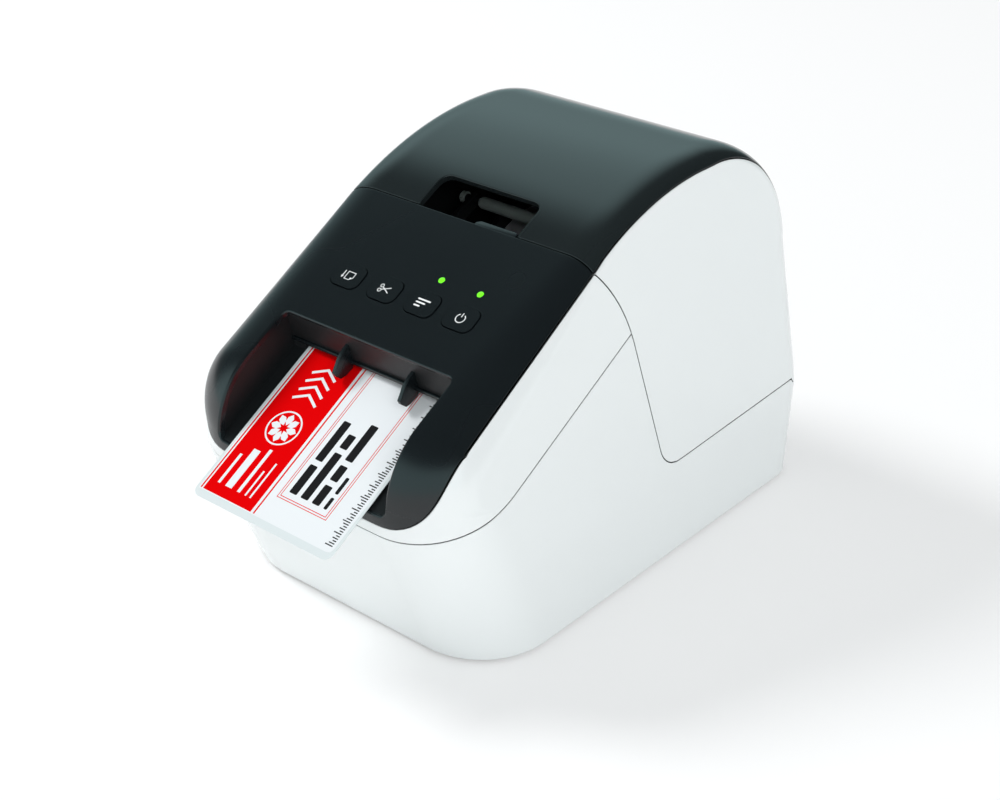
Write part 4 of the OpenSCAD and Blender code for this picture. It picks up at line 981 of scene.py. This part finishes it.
class MakePanel(PieceOperator):
    """Make the black front panel with its outlet"""
    bl_idname = PREFIX + ".panel"
    bl_label = "Front panel"

    def build(self):
        body, skin = shape()
        b, s, k, room = body.b, body.s, settings("keys"), seam_room()
        side, face = body.black_side(), body.black_face()
        top = np.array([body.front + s.outlet_back, body.slope_z(body.front + s.outlet_back)])

        def outlet(p):
            back = (p[:, 1:3] - top) @ body.slope_dir
            below = s.sill - p[:, 2]
            r = 2.2 * MM
            qu, qv = np.abs(p[:, 0]) - s.outlet_half + r, np.maximum(back, below) + r
            return (np.hypot(np.maximum(qu, 0), np.maximum(qv, 0)) + np.minimum(np.maximum(qu, qv), 0)
                    - r - s.outlet_edge)

        row = body.front + k.back

        def keys(p):
            along = (p[:, 1] - row) / math.cos(b.slope)
            gaps = [rounded_box(p[:, 0] - key_x(i), along, k.width / 2, k.height / 2, k.corner)
                    for i in range(4)]
            return np.minimum.reduce(gaps) - k.gap - s.edge

        def lenses(p):
            along = (p[:, 1] - row) / math.cos(b.slope) - k.lens_up
            gaps = [np.hypot(p[:, 0] - key_x(i), along) for i in (2, 3)]
            return np.minimum.reduce(gaps) - k.lens_radius - 0.12 * MM

        skin = skin.cut(side_field(side, 1, room), s.edge)
        skin = skin.cut(lambda p: inside_distance(p[:, ::2].copy(), face) - room, s.edge)
        skin = skin.cut(side_field(body.cover_outline(), -1, room), s.edge)
        skin = skin.cut(outlet, s.outlet_edge)
        skin = skin.cut(keys, s.edge)
        skin = skin.cut(lenses, 0.1 * MM)
        moulding_object("panel_moulding", skin, b.wall, finishes().get("satin_black"), "base",
                        ["front_panel"])
        self.chute(body, top)
        self.tongue(body)

    def chute(self, body, top):
        """The recess behind the outlet: two cheeks, a back wall and a floor."""
        b, s = body.b, body.s
        slot = np.array([body.front + 36 * MM, body.slope_z(body.front + 36 * MM) - 15.4 * MM])
        depth, t = 1.0 * MM, 1.8 * MM
        arc_r = b.nose_radius - depth
        first = math.asin((s.sill - b.nose_height) / arc_r)
        nose = [body.nose + arc_r * out_dir(a)
                for a in np.linspace(first, math.pi / 2 - b.slope, 24)]
        cheek = [*nose, top - depth * body.slope_up, top + np.array([t, -depth]),
                 (slot[0] + t, slot[1]), (slot[0] + t, slot[1] - 2.6 * MM),
                 nose[0] + np.array([0.5 * MM, -t])]
        bm = bmesh.new()
        for x in (-s.outlet_half - t, s.outlet_half):
            prism(bm, cheek, 0, t, across(x))
        full = 2 * s.outlet_half
        jaw = slot + np.array([0, 1.9 * MM])
        floor = slot - np.array([0, 0.8 * MM])
        sill = nose[0]
        back = [top - depth * body.slope_up, top + np.array([t, -depth]), jaw + np.array([t, 0]), jaw]
        prism(bm, back, 0, full, across(-s.outlet_half))
        prism(bm, [floor, floor + np.array([t, -t]), sill + np.array([0.6 * MM, -t]), sill], 0, full,
              across(-s.outlet_half))
        half_slot = 31.6 * MM
        for x0, x1 in ((-s.outlet_half, -half_slot), (half_slot, s.outlet_half)):
            prism(bm, [jaw, jaw + np.array([t, 0]), floor + np.array([t, 0]), floor], 0, x1 - x0,
                  across(x0))
        mesh = finished_mesh("outlet_chute", bm)
        new_object("outlet_chute", mesh, finishes().get("inner_black"), "base")

    def tongue(self, body):
        """The panel's rear edge stands a little into the notch on the right."""
        s = body.s
        seam = body.panel_seam()
        matrix = tilted((0, seam[0], seam[1]), body.b.slope)
        outline = [(3, -1.2), (3.6, 0.8), (5.2, 1.7), (20.4, 1.7), (20.9, 1.2), (20.9, -1.2)]
        bm = bmesh.new()
        prism(bm, [(u * MM, v * MM) for u, v in outline], -2 * MM, -0.25 * MM, matrix)
        soften(bm, 0.25 * MM)
        mesh = finished_mesh("panel_tongue", bm)
        new_object("panel_tongue", mesh, finishes().get("satin_black"), "base")


class MakeCover(PieceOperator):
    """Make the black cover and its white frame"""
    bl_idname = PREFIX + ".cover"
    bl_label = "Roll cover"

    def build(self):
        body, skin = shape()
        s, room = body.s, seam_room()
        seam = body.panel_seam()
        skin = skin.cut(side_field(body.cover_outline(), 1, room), s.edge)

        def notch(p):
            along = (p[:, 1:3] - seam) @ body.slope_dir
            return rounded_box(p[:, 0], along, s.notch_width / 2, s.notch_depth, s.notch_corner) - 0.4 * MM

        top = skin.cut(side_field(body.crown_outline(), 1, room), s.edge).cut(notch, 0.4 * MM)
        moulding_object("cover_moulding", top, body.b.wall, finishes().get("gloss_black"), "cover",
                        ["cover_shell"])
        side = skin.cut(side_field(body.crown_outline(), -1, room), s.edge)
        moulding_object("cover_frame_moulding", side, body.b.wall, finishes().get("gloss_white"),
                        "cover", ["cover_frame"])


def rounded_rectangle(w, h, r, n=8):
    x, y = w / 2 - r, h / 2 - r
    return [(cx + r * math.cos(a), cy + r * math.sin(a))
            for cx, cy, start in ((x, -y, -90), (x, y, 0), (-x, y, 90), (-x, -y, 180))
            for a in (math.radians(start + 90 * k / n) for k in range(n + 1))]


def stroke(bm, points, width, height, matrix, closed=False):
    """Adds a flat printed line of even width along the points."""
    p = [Vector(q) for q in points]
    n = len(p)
    left, right = [], []
    for i in range(n):
        before = p[i - 1] if (i or closed) else None
        after = p[(i + 1) % n] if (i < n - 1 or closed) else None
        ways = [w.normalized() for w in ((p[i] - before) if before else None,
                                         (after - p[i]) if after else None) if w is not None]
        way = sum(ways, Vector((0, 0))).normalized()
        side = Vector((-way.y, way.x))
        reach = width / 2 / max(0.5, side.dot(Vector((-ways[0].y, ways[0].x))))
        left.append(p[i] + side * reach)
        right.append(p[i] - side * reach)
    steps = n if closed else n - 1
    made = [(bm.verts.new((*a, height)), bm.verts.new((*b, height))) for a, b in zip(left, right)]
    for i in range(steps):
        a, b = made[i], made[(i + 1) % n]
        bm.faces.new((a[0], a[1], b[1], b[0]))
    bmesh.ops.transform(bm, matrix=matrix, verts=[v for pair in made for v in pair])


def patch(bm, points, height, matrix):
    """Adds a flat printed area."""
    made = [bm.verts.new((*q, height)) for q in points]
    bm.faces.new(made)
    bmesh.ops.transform(bm, matrix=matrix, verts=made)


def thickened(bm, matrix):
    """Turns flat prints into closed sheets, a hundredth of a millimetre thick."""
    down = matrix.to_3x3() @ Vector((0, 0, -0.01 * MM))
    made = bmesh.ops.extrude_face_region(bm, geom=bm.faces[:], use_keep_orig=True)["geom"]
    bmesh.ops.translate(bm, vec=down, verts=[g for g in made if isinstance(g, bmesh.types.BMVert)])
    return bm


def circle(cx, cy, r, n=40, start=0.0, sweep=360.0):
    closed = abs(sweep) >= 360
    count = n if closed else n + 1
    return [(cx + r * math.cos(math.radians(start + sweep * k / n)),
             cy + r * math.sin(math.radians(start + sweep * k / n))) for k in range(count)]


def feed_icon(bm, m, h):
    """A sheet with a turned corner and an arrow beside it."""
    mm = lambda pts: [(x * MM, y * MM) for x, y in pts]
    stroke(bm, mm([(-0.9, 1.5), (2.3, 1.5), (2.3, -0.6), (1.2, -1.6), (-0.9, -1.6)]), 0.28 * MM, h, m,
           closed=True)
    patch(bm, mm([(1.2, -1.55), (1.2, -0.6), (2.25, -0.6)]), h, m)
    stroke(bm, mm([(-2.2, 1.6), (-2.2, -0.7)]), 0.34 * MM, h, m)
    patch(bm, mm([(-2.75, -0.6), (-2.2, -1.7), (-1.65, -0.6)]), h, m)


def cut_icon(bm, m, h):
    """A pair of scissors."""
    mm = lambda pts: [(x * MM, y * MM) for x, y in pts]
    for s in (-1, 1):
        stroke(bm, mm(circle(-1.75, 0.95 * s, 0.62, 20)), 0.26 * MM, h, m, closed=True)
        stroke(bm, mm([(-1.25, 0.6 * s), (2.1, -1.15 * s)]), 0.34 * MM, h, m)


def list_icon(bm, m, h):
    """Three lines of falling length."""
    for row, reach in ((1.35, 2.7), (0, 2.0), (-1.35, 1.3)):
        bar = rounded_rectangle(2 * reach * MM, 0.62 * MM, 0.3 * MM, 5)
        patch(bm, [(x + (reach - 2.7) * MM, y + row * MM) for x, y in bar], h, m)


def power_icon(bm, m, h):
    """A ring with a gap at the top and an upright line in it."""
    mm = lambda pts: [(x * MM, y * MM) for x, y in pts]
    stroke(bm, mm(circle(0, -0.15, 1.7, 40, 122, 296)), 0.34 * MM, h, m)
    stroke(bm, mm([(0, 0.35), (0, 2.0)]), 0.34 * MM, h, m)


KEYS = (("button_feed", "feed_key", feed_icon), ("button_cut", "cut_key", cut_icon),
        ("button_custom", "custom_key", list_icon), ("button_power", "power_key", power_icon))


class MakeKeys(PieceOperator):
    """Make the four keys with their icons"""
    bl_idname = PREFIX + ".keys"
    bl_label = "Keys"

    def build(self):
        body, _ = shape()
        k = settings("keys")
        for i, (node, rides, icon) in enumerate(KEYS):
            m = on_panel(body, key_x(i), k.back)
            bm = bmesh.new()
            outline = rounded_rectangle(k.width, k.height, k.corner)
            top = prism(bm, outline, -2.6 * MM, k.proud)
            upper = [v for v in top if v.co.z > 0]
            soften(bm, 0.45 * MM, upper, least=60, segments=4)
            flange = rounded_rectangle(k.width + 2 * MM, k.height + 2 * MM, k.corner + 1 * MM)
            prism(bm, flange, -3.2 * MM, -2.45 * MM)
            bm.transform(m)
            name = node.replace("button", "key")
            new_object(name + "_cap", finished_mesh(name, bm), finishes().get("satin_black"), rides,
                       [node])
            bm = bmesh.new()
            icon(bm, m, k.proud + 0.015 * MM)
            new_object(name + "_icon", finished_mesh(name + "_icon", thickened(bm, m)),
                       finishes().get("icon_white"), rides)


class MakeLenses(PieceOperator):
    """Make the two green status lenses"""
    bl_idname = PREFIX + ".lenses"
    bl_label = "Status lenses"

    def build(self):
        body, _ = shape()
        k = settings("keys")
        bm = bmesh.new()
        for i in (2, 3):
            m = on_panel(body, key_x(i), k.back) @ Matrix.Translation((0, k.lens_up, 0))
            rings = [(1.0, -2.4 * MM), (1.0, -0.05 * MM), (0.9, 0.08 * MM), (0.6, 0.17 * MM),
                     (0.25, 0.21 * MM)]
            loops = []
            for share, z in rings:
                ring = [bm.verts.new((*p, z)) for p in circle(0, 0, k.lens_radius * share, 32)]
                bmesh.ops.transform(bm, matrix=m, verts=ring)
                loops.append(ring)
            bm.faces.new(loops[0][::-1])
            bm.faces.new(loops[-1])
            for a, b in zip(loops, loops[1:]):
                for j in range(32):
                    bm.faces.new((a[j], a[(j + 1) % 32], b[(j + 1) % 32], b[j]))
        new_object("lamp_lenses", finished_mesh("lamp_lenses", bm, 60), finishes().get("lamp_green"),
                   "base", ["status_lenses"])


class MakeGuides(PieceOperator):
    """Make the two fins and the ledge over the label"""
    bl_idname = PREFIX + ".guides"
    bl_label = "Label guides"

    def build(self):
        body, _ = shape()
        y = body.front + 36 * MM
        z = body.slope_z(y) - 15.4 * MM
        jaw = z + 1.9 * MM
        bm = bmesh.new()
        profile = [(-1.6, 9.4), (-3.9, 8.1), (-6.3, 5.7), (-8.9, 1.2), (-8.2, -0.1), (-6.0, -1.8),
                   (-3.7, -1.4), (-0.5, 0), (0.4, 2.4)]
        fin = [(y + u * MM, z + v * MM) for u, v in profile]
        for x in (-10 * MM, 19 * MM):
            made = prism(bm, fin, 0, 1.4 * MM, across(x - 0.7 * MM))
            soften(bm, 0.2 * MM, made, least=20, segments=3)
        half = body.s.outlet_half - 0.3 * MM
        ledge = [(y, jaw), (y - 1.4 * MM, jaw), (y - 1.4 * MM, jaw + 1.2 * MM), (y, jaw + 1.2 * MM)]
        made = prism(bm, ledge, 0, 2 * half, across(-half))
        soften(bm, 0.4 * MM, made, least=60, segments=3)
        new_object("outlet_guides", finished_mesh("outlet_guides", bm), finishes().get("satin_black"),
                   "base", ["label_guides"])


class MakeLever(PieceOperator):
    """Make the anti-curl lever: a pale rod between two dark arms"""
    bl_idname = PREFIX + ".lever"
    bl_label = "Anti-curl lever"

    def build(self):
        low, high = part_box("anti_curl_lever")
        r, end, arm_x = 2.3 * MM, 31 * MM, 33.5 * MM
        axis = Vector((0, high.y - 3 * MM, high.z - 3 * MM))
        pivot = Vector((0, low.y + 3 * MM, low.z + 3 * MM))
        bm = bmesh.new()
        rod = [(-end + r * (1 - math.cos(t)), max(r * math.sin(t), 0.2 * MM))
               for t in np.linspace(0, math.pi / 2, 9)]
        rod += [(-x, radius) for x, radius in rod[::-1]]
        self.turned(bm, rod, axis)
        for side in (-1, 1):
            stub = [(side * (arm_x + u * MM), v * MM) for u, v in ((3.4, 2.2), (5.2, 2.2), (5.9, 1.5))]
            self.turned(bm, stub, axis)
        new_object("lever_rod", finished_mesh("lever_rod", bm), finishes().get("lever_grey"), "lever",
                   ["anti_curl_lever"])
        bm = bmesh.new()
        for side in (-1, 1):
            self.turned(bm, [(side * (end - 2 * MM), 1.4 * MM), (side * (arm_x + 3.6 * MM), 1.4 * MM)], axis)
            way = (axis - pivot).normalized()
            aside = Vector((0, -way.z, way.y)) * 2.4 * MM
            outline = [(p.y, p.z) for p in (pivot - way * 2 * MM + aside, axis + way * 2 * MM + aside,
                                            axis + way * 2 * MM - aside, pivot - way * 2 * MM - aside)]
            made = prism(bm, outline, 0, 2.4 * MM, across(side * arm_x - 1.2 * MM))
            soften(bm, 0.5 * MM, made)
            self.turned(bm, [(side * arm_x, 2 * MM), (side * high.x, 2 * MM)], pivot)
        new_object("lever_arms", finished_mesh("lever_arms", bm), finishes().get("inner_black"), "lever")

    def turned(self, bm, profile, axis, n=28):
        """Adds a closed turned form along X from its (x, radius) profile."""
        rings = [[bm.verts.new((x, axis.y + radius * math.cos(t), axis.z + radius * math.sin(t)))
                  for t in (2 * math.pi * k / n for k in range(n))] for x, radius in profile]
        bm.faces.new(rings[0])
        bm.faces.new(rings[-1][::-1])
        for a, b in zip(rings, rings[1:]):
            for k in range(n):
                bm.faces.new((a[k], a[(k + 1) % n], b[(k + 1) % n], b[k]))


class MakeLabelPrint(PieceOperator):
    """Print the label with a generic design"""
    bl_idname = PREFIX + ".label_print"
    bl_label = "Label print"

    def build(self):
        low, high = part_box("printed_label")
        a = math.radians(30)
        # The label's upper face, from its front edge up the path
        lift = 0.25 * MM * math.cos(a) + 0.02 * MM
        run = (high.y - low.y - 0.25 * MM * math.sin(a)) / math.cos(a)
        m = tilted((0, low.y + 0.25 * MM * math.sin(a), low.z), a) @ Matrix.Translation((0, 0, 0.27 * MM))
        mm = lambda pts: [(x * MM, y * MM) for x, y in pts]
        top = run / MM
        face = bmesh.new()
        patch(face, mm([(-30, 2.6), (28.2, 2.6), (29.5, 3.1), (30, 4.4), (30, top), (-30, top)]), 0, m)
        new_object("label_face", finished_mesh("label_face", thickened(face, m)), finishes().get("paper"),
                   "label_strip")
        red, over = bmesh.new(), 0.012 * MM
        patch(red, mm([(-28.3, 3.0), (-6.0, 3.0), (-6.0, top), (-28.3, top)]), over, m)
        for x in (-29.2, -4.6):
            stroke(red, mm([(x, 3.0), (x, top)]), 0.6 * MM, over, m)
        for inset in (0, 0.85):
            frame_line = [(-1.2 + inset, 11.5 + inset), (20.4 - inset, 11.5 + inset),
                          (20.4 - inset, top - 9 - inset), (-1.2 + inset, top - 9 - inset)]
            stroke(red, mm(frame_line), 0.26 * MM, over, m, closed=True)
        new_object("label_red", finished_mesh("label_red", thickened(red, m)), finishes().get("ink_red"), "label_strip")
        white = bmesh.new()
        above = 2 * over
        self.rosette(white, mm, m, above, -17, 33)
        for x, width, y0, y1 in ((-24.4, 1.1, 7, 19), (-19.9, 3.0, 7, 22.5), (-15.2, 1.3, 7, 24.5),
                                 (-12.0, 0.7, 7, 17), (-9.8, 0.7, 7, 21)):
            patch(white, mm([(x - width / 2, y0), (x + width / 2, y0), (x + width / 2, y1),
                             (x - width / 2, y1)]), above, m)
        for k in range(4):
            y = 44 + 3.6 * k
            stroke(white, mm([(-22.5, y), (-17.2, y + 3), (-11.9, y)]), 1.0 * MM, above, m)
        new_object("label_white", finished_mesh("label_white", thickened(white, m)), finishes().get("paper"),
                   "label_strip")
        black = bmesh.new()
        bars = ((3.2, 14.5, 26), (3.2, 28, 44), (8.2, 14.5, 33), (8.2, 35, 40.5), (13.2, 14.5, 22),
                (13.2, 24, 30), (13.2, 32, 46.5), (17.4, 14.5, 19), (17.4, 20.5, 27))
        for x, y0, y1 in bars:
            wide = 3.2 if x < 15 else 1.4
            bar = rounded_rectangle(wide * MM, (y1 - y0) * MM, 0.45 * MM, 3)
            patch(black, [(u + x * MM, v + (y0 + y1) / 2 * MM) for u, v in bar], over, m)
        for i in range(int((top - 8) / 0.92)):
            y = 5.0 + 0.92 * i
            reach = 3.2 if i % 5 == 0 else (2.3 if i % 2 else 1.5)
            stroke(black, mm([(28.9, y), (28.9 - reach, y)]), 0.4 * MM, over, m)
        new_object("label_black", finished_mesh("label_black", thickened(black, m)), finishes().get("ink_black"),
                   "label_strip")

    def rosette(self, bm, mm, m, height, cx, cy):
        """A ring with eight petals in it."""
        stroke(bm, mm(circle(cx, cy, 6.4, 64)), 0.6 * MM, height, m, closed=True)
        for k in range(8):
            a = math.radians(45 * k)
            d, s = Vector((math.cos(a), math.sin(a))), Vector((-math.sin(a), math.cos(a)))
            petal = [(1.2, 0), (2.6, 1.15), (4.2, 1.25), (5.6, 0), (4.2, -1.25), (2.6, -1.15)]
            patch(bm, mm([(cx + d.x * u + s.x * v, cy + d.y * u + s.y * v) for u, v in petal]),
                  height, m)


SLOT_FINISH = {
    "dark_pan": "dark_pan", "rubber": "rubber", "white_shell": "gloss_white", "steel": "steel",
    "zinc_sheet": "zinc_sheet", "brass": "brass", "blade": "blade_steel", "head": "head_alloy",
    "board": "board_green", "card": "card", "paper": "paper", "socket_black": "socket_black",
    "black_inner": "inner_black", "black_panel": "satin_black", "black_cover": "gloss_black",
    "ivory_gear": "gear_ivory", "grey_lever": "lever_grey", "lens_green": "lamp_green",
}
NODE_FINISH = {"label_roll": "wound_paper", "spool_hub": "inner_black",
               "spool_cap": "inner_black", "printed_label": "liner",
               "side_frame_left": "inner_black", "side_frame_right": "inner_black"}


class FinishInside(PieceOperator):
    """Give every carried-over piece its finish"""
    bl_idname = PREFIX + ".inside"
    bl_label = "Inner pieces"

    def build(self):
        slots = {row["node"]: row["material_slot"] for row in frame["record"]["subparts"]}
        for name, obj in frame["nodes"].items():
            finish = NODE_FINISH.get(name) or SLOT_FINISH[slots[name]]
            obj.data.materials.clear()
            obj.data.materials.append(finishes().get(finish))


class MakeStage(PieceOperator):
    """Make the floor, the light and the camera"""
    bl_idname = PREFIX + ".stage"
    bl_label = "Stage"

    def build(self):
        self.floor()
        self.world()
        self.lamps()
        self.camera()

    def floor(self):
        mesh = bpy.data.meshes.new("floor")
        r = 4.0
        mesh.from_pydata([(-r, -r, 0), (r, -r, 0), (r, r, 0), (-r, r, 0)], [], [(0, 1, 2, 3)])
        obj = bpy.data.objects.new("floor", mesh)
        bpy.context.scene.collection.objects.link(obj)
        material = bpy.data.materials.new("pale_floor")
        material.use_nodes = True
        nodes, link = material.node_tree.nodes, material.node_tree.links.new
        shader = nodes["Principled BSDF"]
        shader.inputs["Base Color"].default_value = (0.95, 0.95, 0.95, 1)
        shader.inputs["Roughness"].default_value = 0.9
        shader.inputs["Specular IOR Level"].default_value = 0.0
        glow = nodes.new("ShaderNodeEmission")
        glow.inputs["Strength"].default_value = 1.0
        path = nodes.new("ShaderNodeLightPath")
        seen = nodes.new("ShaderNodeMath")
        seen.operation = "MAXIMUM"
        share = nodes.new("ShaderNodeMath")
        share.operation = "MULTIPLY"
        share.inputs[1].default_value = 0.3
        mix = nodes.new("ShaderNodeMixShader")
        link(path.outputs["Is Camera Ray"], seen.inputs[0])
        link(path.outputs["Is Glossy Ray"], seen.inputs[1])
        link(seen.outputs["Value"], share.inputs[0])
        link(share.outputs["Value"], mix.inputs["Fac"])
        link(shader.outputs["BSDF"], mix.inputs[1])
        link(glow.outputs["Emission"], mix.inputs[2])
        link(mix.outputs["Shader"], nodes["Material Output"].inputs["Surface"])
        mesh.materials.append(material)

    def world(self):
        """Even light, but what mirrors it sees two pale screens, behind on the left and in front."""
        world = bpy.data.worlds.new("studio")
        bpy.context.scene.world = world
        world.use_nodes = True
        nodes, link = world.node_tree.nodes, world.node_tree.links.new
        even = nodes["Background"]
        even.inputs["Color"].default_value = (0.95, 0.985, 1.0, 1)
        even.inputs["Strength"].default_value = 0.56
        where = nodes.new("ShaderNodeTexCoord")
        parts = nodes.new("ShaderNodeSeparateXYZ")
        link(where.outputs["Generated"], parts.inputs["Vector"])

        def fade(axis, start, stop, low, high):
            node = nodes.new("ShaderNodeMapRange")
            node.interpolation_type = "SMOOTHSTEP"
            for label, value in zip(("From Min", "From Max", "To Min", "To Max"),
                                    (start, stop, low, high)):
                node.inputs[label].default_value = value
            link(parts.outputs[axis], node.inputs["Value"])
            return node.outputs["Result"]

        def combine(operation, first, second):
            node = nodes.new("ShaderNodeMath")
            node.operation = operation
            for socket, value in zip(node.inputs, (first, second)):
                if isinstance(value, float):
                    socket.default_value = value
                else:
                    link(value, socket)
            return node.outputs["Value"]

        behind = combine("MULTIPLY", fade("Y", 0.08, 0.34, 0.0, 1.05), fade("X", -0.48, -0.12, 1.0, 0.0))
        behind = combine("MULTIPLY", behind, fade("Z", 0.2, 0.55, 0.5, 1.0))
        ahead = combine("MULTIPLY", fade("Y", -0.4, -0.2, 1.1, 0.0), fade("Z", 0.5, 0.62, 1.0, 0.0))
        room = combine("ADD", behind, ahead)
        mirrored = nodes.new("ShaderNodeBackground")
        mirrored.inputs["Color"].default_value = (0.68, 0.98, 1.0, 1)
        link(combine("ADD", room, 0.06), mirrored.inputs["Strength"])
        path = nodes.new("ShaderNodeLightPath")
        gloss = nodes.new("ShaderNodeMixShader")
        link(combine("MAXIMUM", path.outputs["Is Glossy Ray"], path.outputs["Is Transmission Ray"]),
             gloss.inputs["Fac"])
        link(even.outputs["Background"], gloss.inputs[1])
        link(mirrored.outputs["Background"], gloss.inputs[2])
        white = nodes.new("ShaderNodeBackground")
        white.inputs["Strength"].default_value = 1.0
        shown = nodes.new("ShaderNodeMixShader")
        link(path.outputs["Is Camera Ray"], shown.inputs["Fac"])
        link(gloss.outputs["Shader"], shown.inputs[1])
        link(white.outputs["Background"], shown.inputs[2])
        link(shown.outputs["Shader"], nodes["World Output"].inputs["Surface"])

    def lamps(self):
        for name, place, size, power in (
                ("key_light", (-1.9, -0.7, 2.1), 1.0, 46.0),
                ("fill_light", (2.2, -1.5, 1.7), 2.0, 33.0)):
            lamp = bpy.data.lights.new(name, "AREA")
            lamp.shape = "DISK"
            lamp.size = size
            lamp.energy = power
            obj = bpy.data.objects.new(name, lamp)
            obj.location = place
            aim = Vector((0, 0, 0.06)) - Vector(place)
            obj.rotation_euler = aim.to_track_quat("-Z", "Y").to_euler()
            obj.visible_glossy = False
            bpy.context.scene.collection.objects.link(obj)

    def camera(self):
        data = bpy.data.cameras.new("camera")
        data.sensor_fit = "HORIZONTAL"
        data.sensor_width = 36.0
        data.lens = 64.797
        data.clip_start = 0.01
        data.clip_end = 50
        obj = bpy.data.objects.new("camera", data)
        obj.location = (0.365258, -0.421915, 0.357495)
        obj.rotation_euler = (math.radians(61.332), 0, math.radians(40.529))
        bpy.context.scene.collection.objects.link(obj)
        bpy.context.scene.camera = obj
        bpy.context.scene.view_settings.view_transform = "Standard"


OPERATORS = (FinishInside, MakeHousing, MakeBezel, MakePanel, MakeCover, MakeKeys, MakeLenses,
             MakeGuides, MakeLever, MakeLabelPrint, MakeStage)
GROUPS = (("body", BodyShape), ("seams", SeamShape), ("keys", KeyShape), ("finish", Finish))


class LabelPrinterPanel(bpy.types.Panel):
    """Lists the pieces of the label printer"""
    bl_idname = "VIEW3D_PT_label_printer"
    bl_label = "Label printer"
    bl_space_type = "VIEW_3D"
    bl_region_type = "UI"
    bl_category = "Label printer"

    def draw(self, context):
        for operator in OPERATORS:
            self.layout.operator(operator.bl_idname)
        for name, kind in GROUPS:
            box = self.layout.box()
            for key in kind.__annotations__:
                box.prop(settings(name), key)


def register():
    for name, kind in GROUPS:
        bpy.utils.register_class(kind)
        setattr(bpy.types.Scene, PREFIX + "_" + name, bpy.props.PointerProperty(type=kind))
    for kind in (*OPERATORS, LabelPrinterPanel):
        bpy.utils.register_class(kind)


def unregister():
    for kind in (LabelPrinterPanel, *reversed(OPERATORS)):
        bpy.utils.unregister_class(kind)
    for name, kind in GROUPS:
        delattr(bpy.types.Scene, PREFIX + "_" + name)
        bpy.utils.unregister_class(kind)


def main():
    register()
    for operator in OPERATORS:
        family, name = operator.bl_idname.split(".")
        getattr(getattr(bpy.ops, family), name)()


if __name__ == "__main__":
    main()
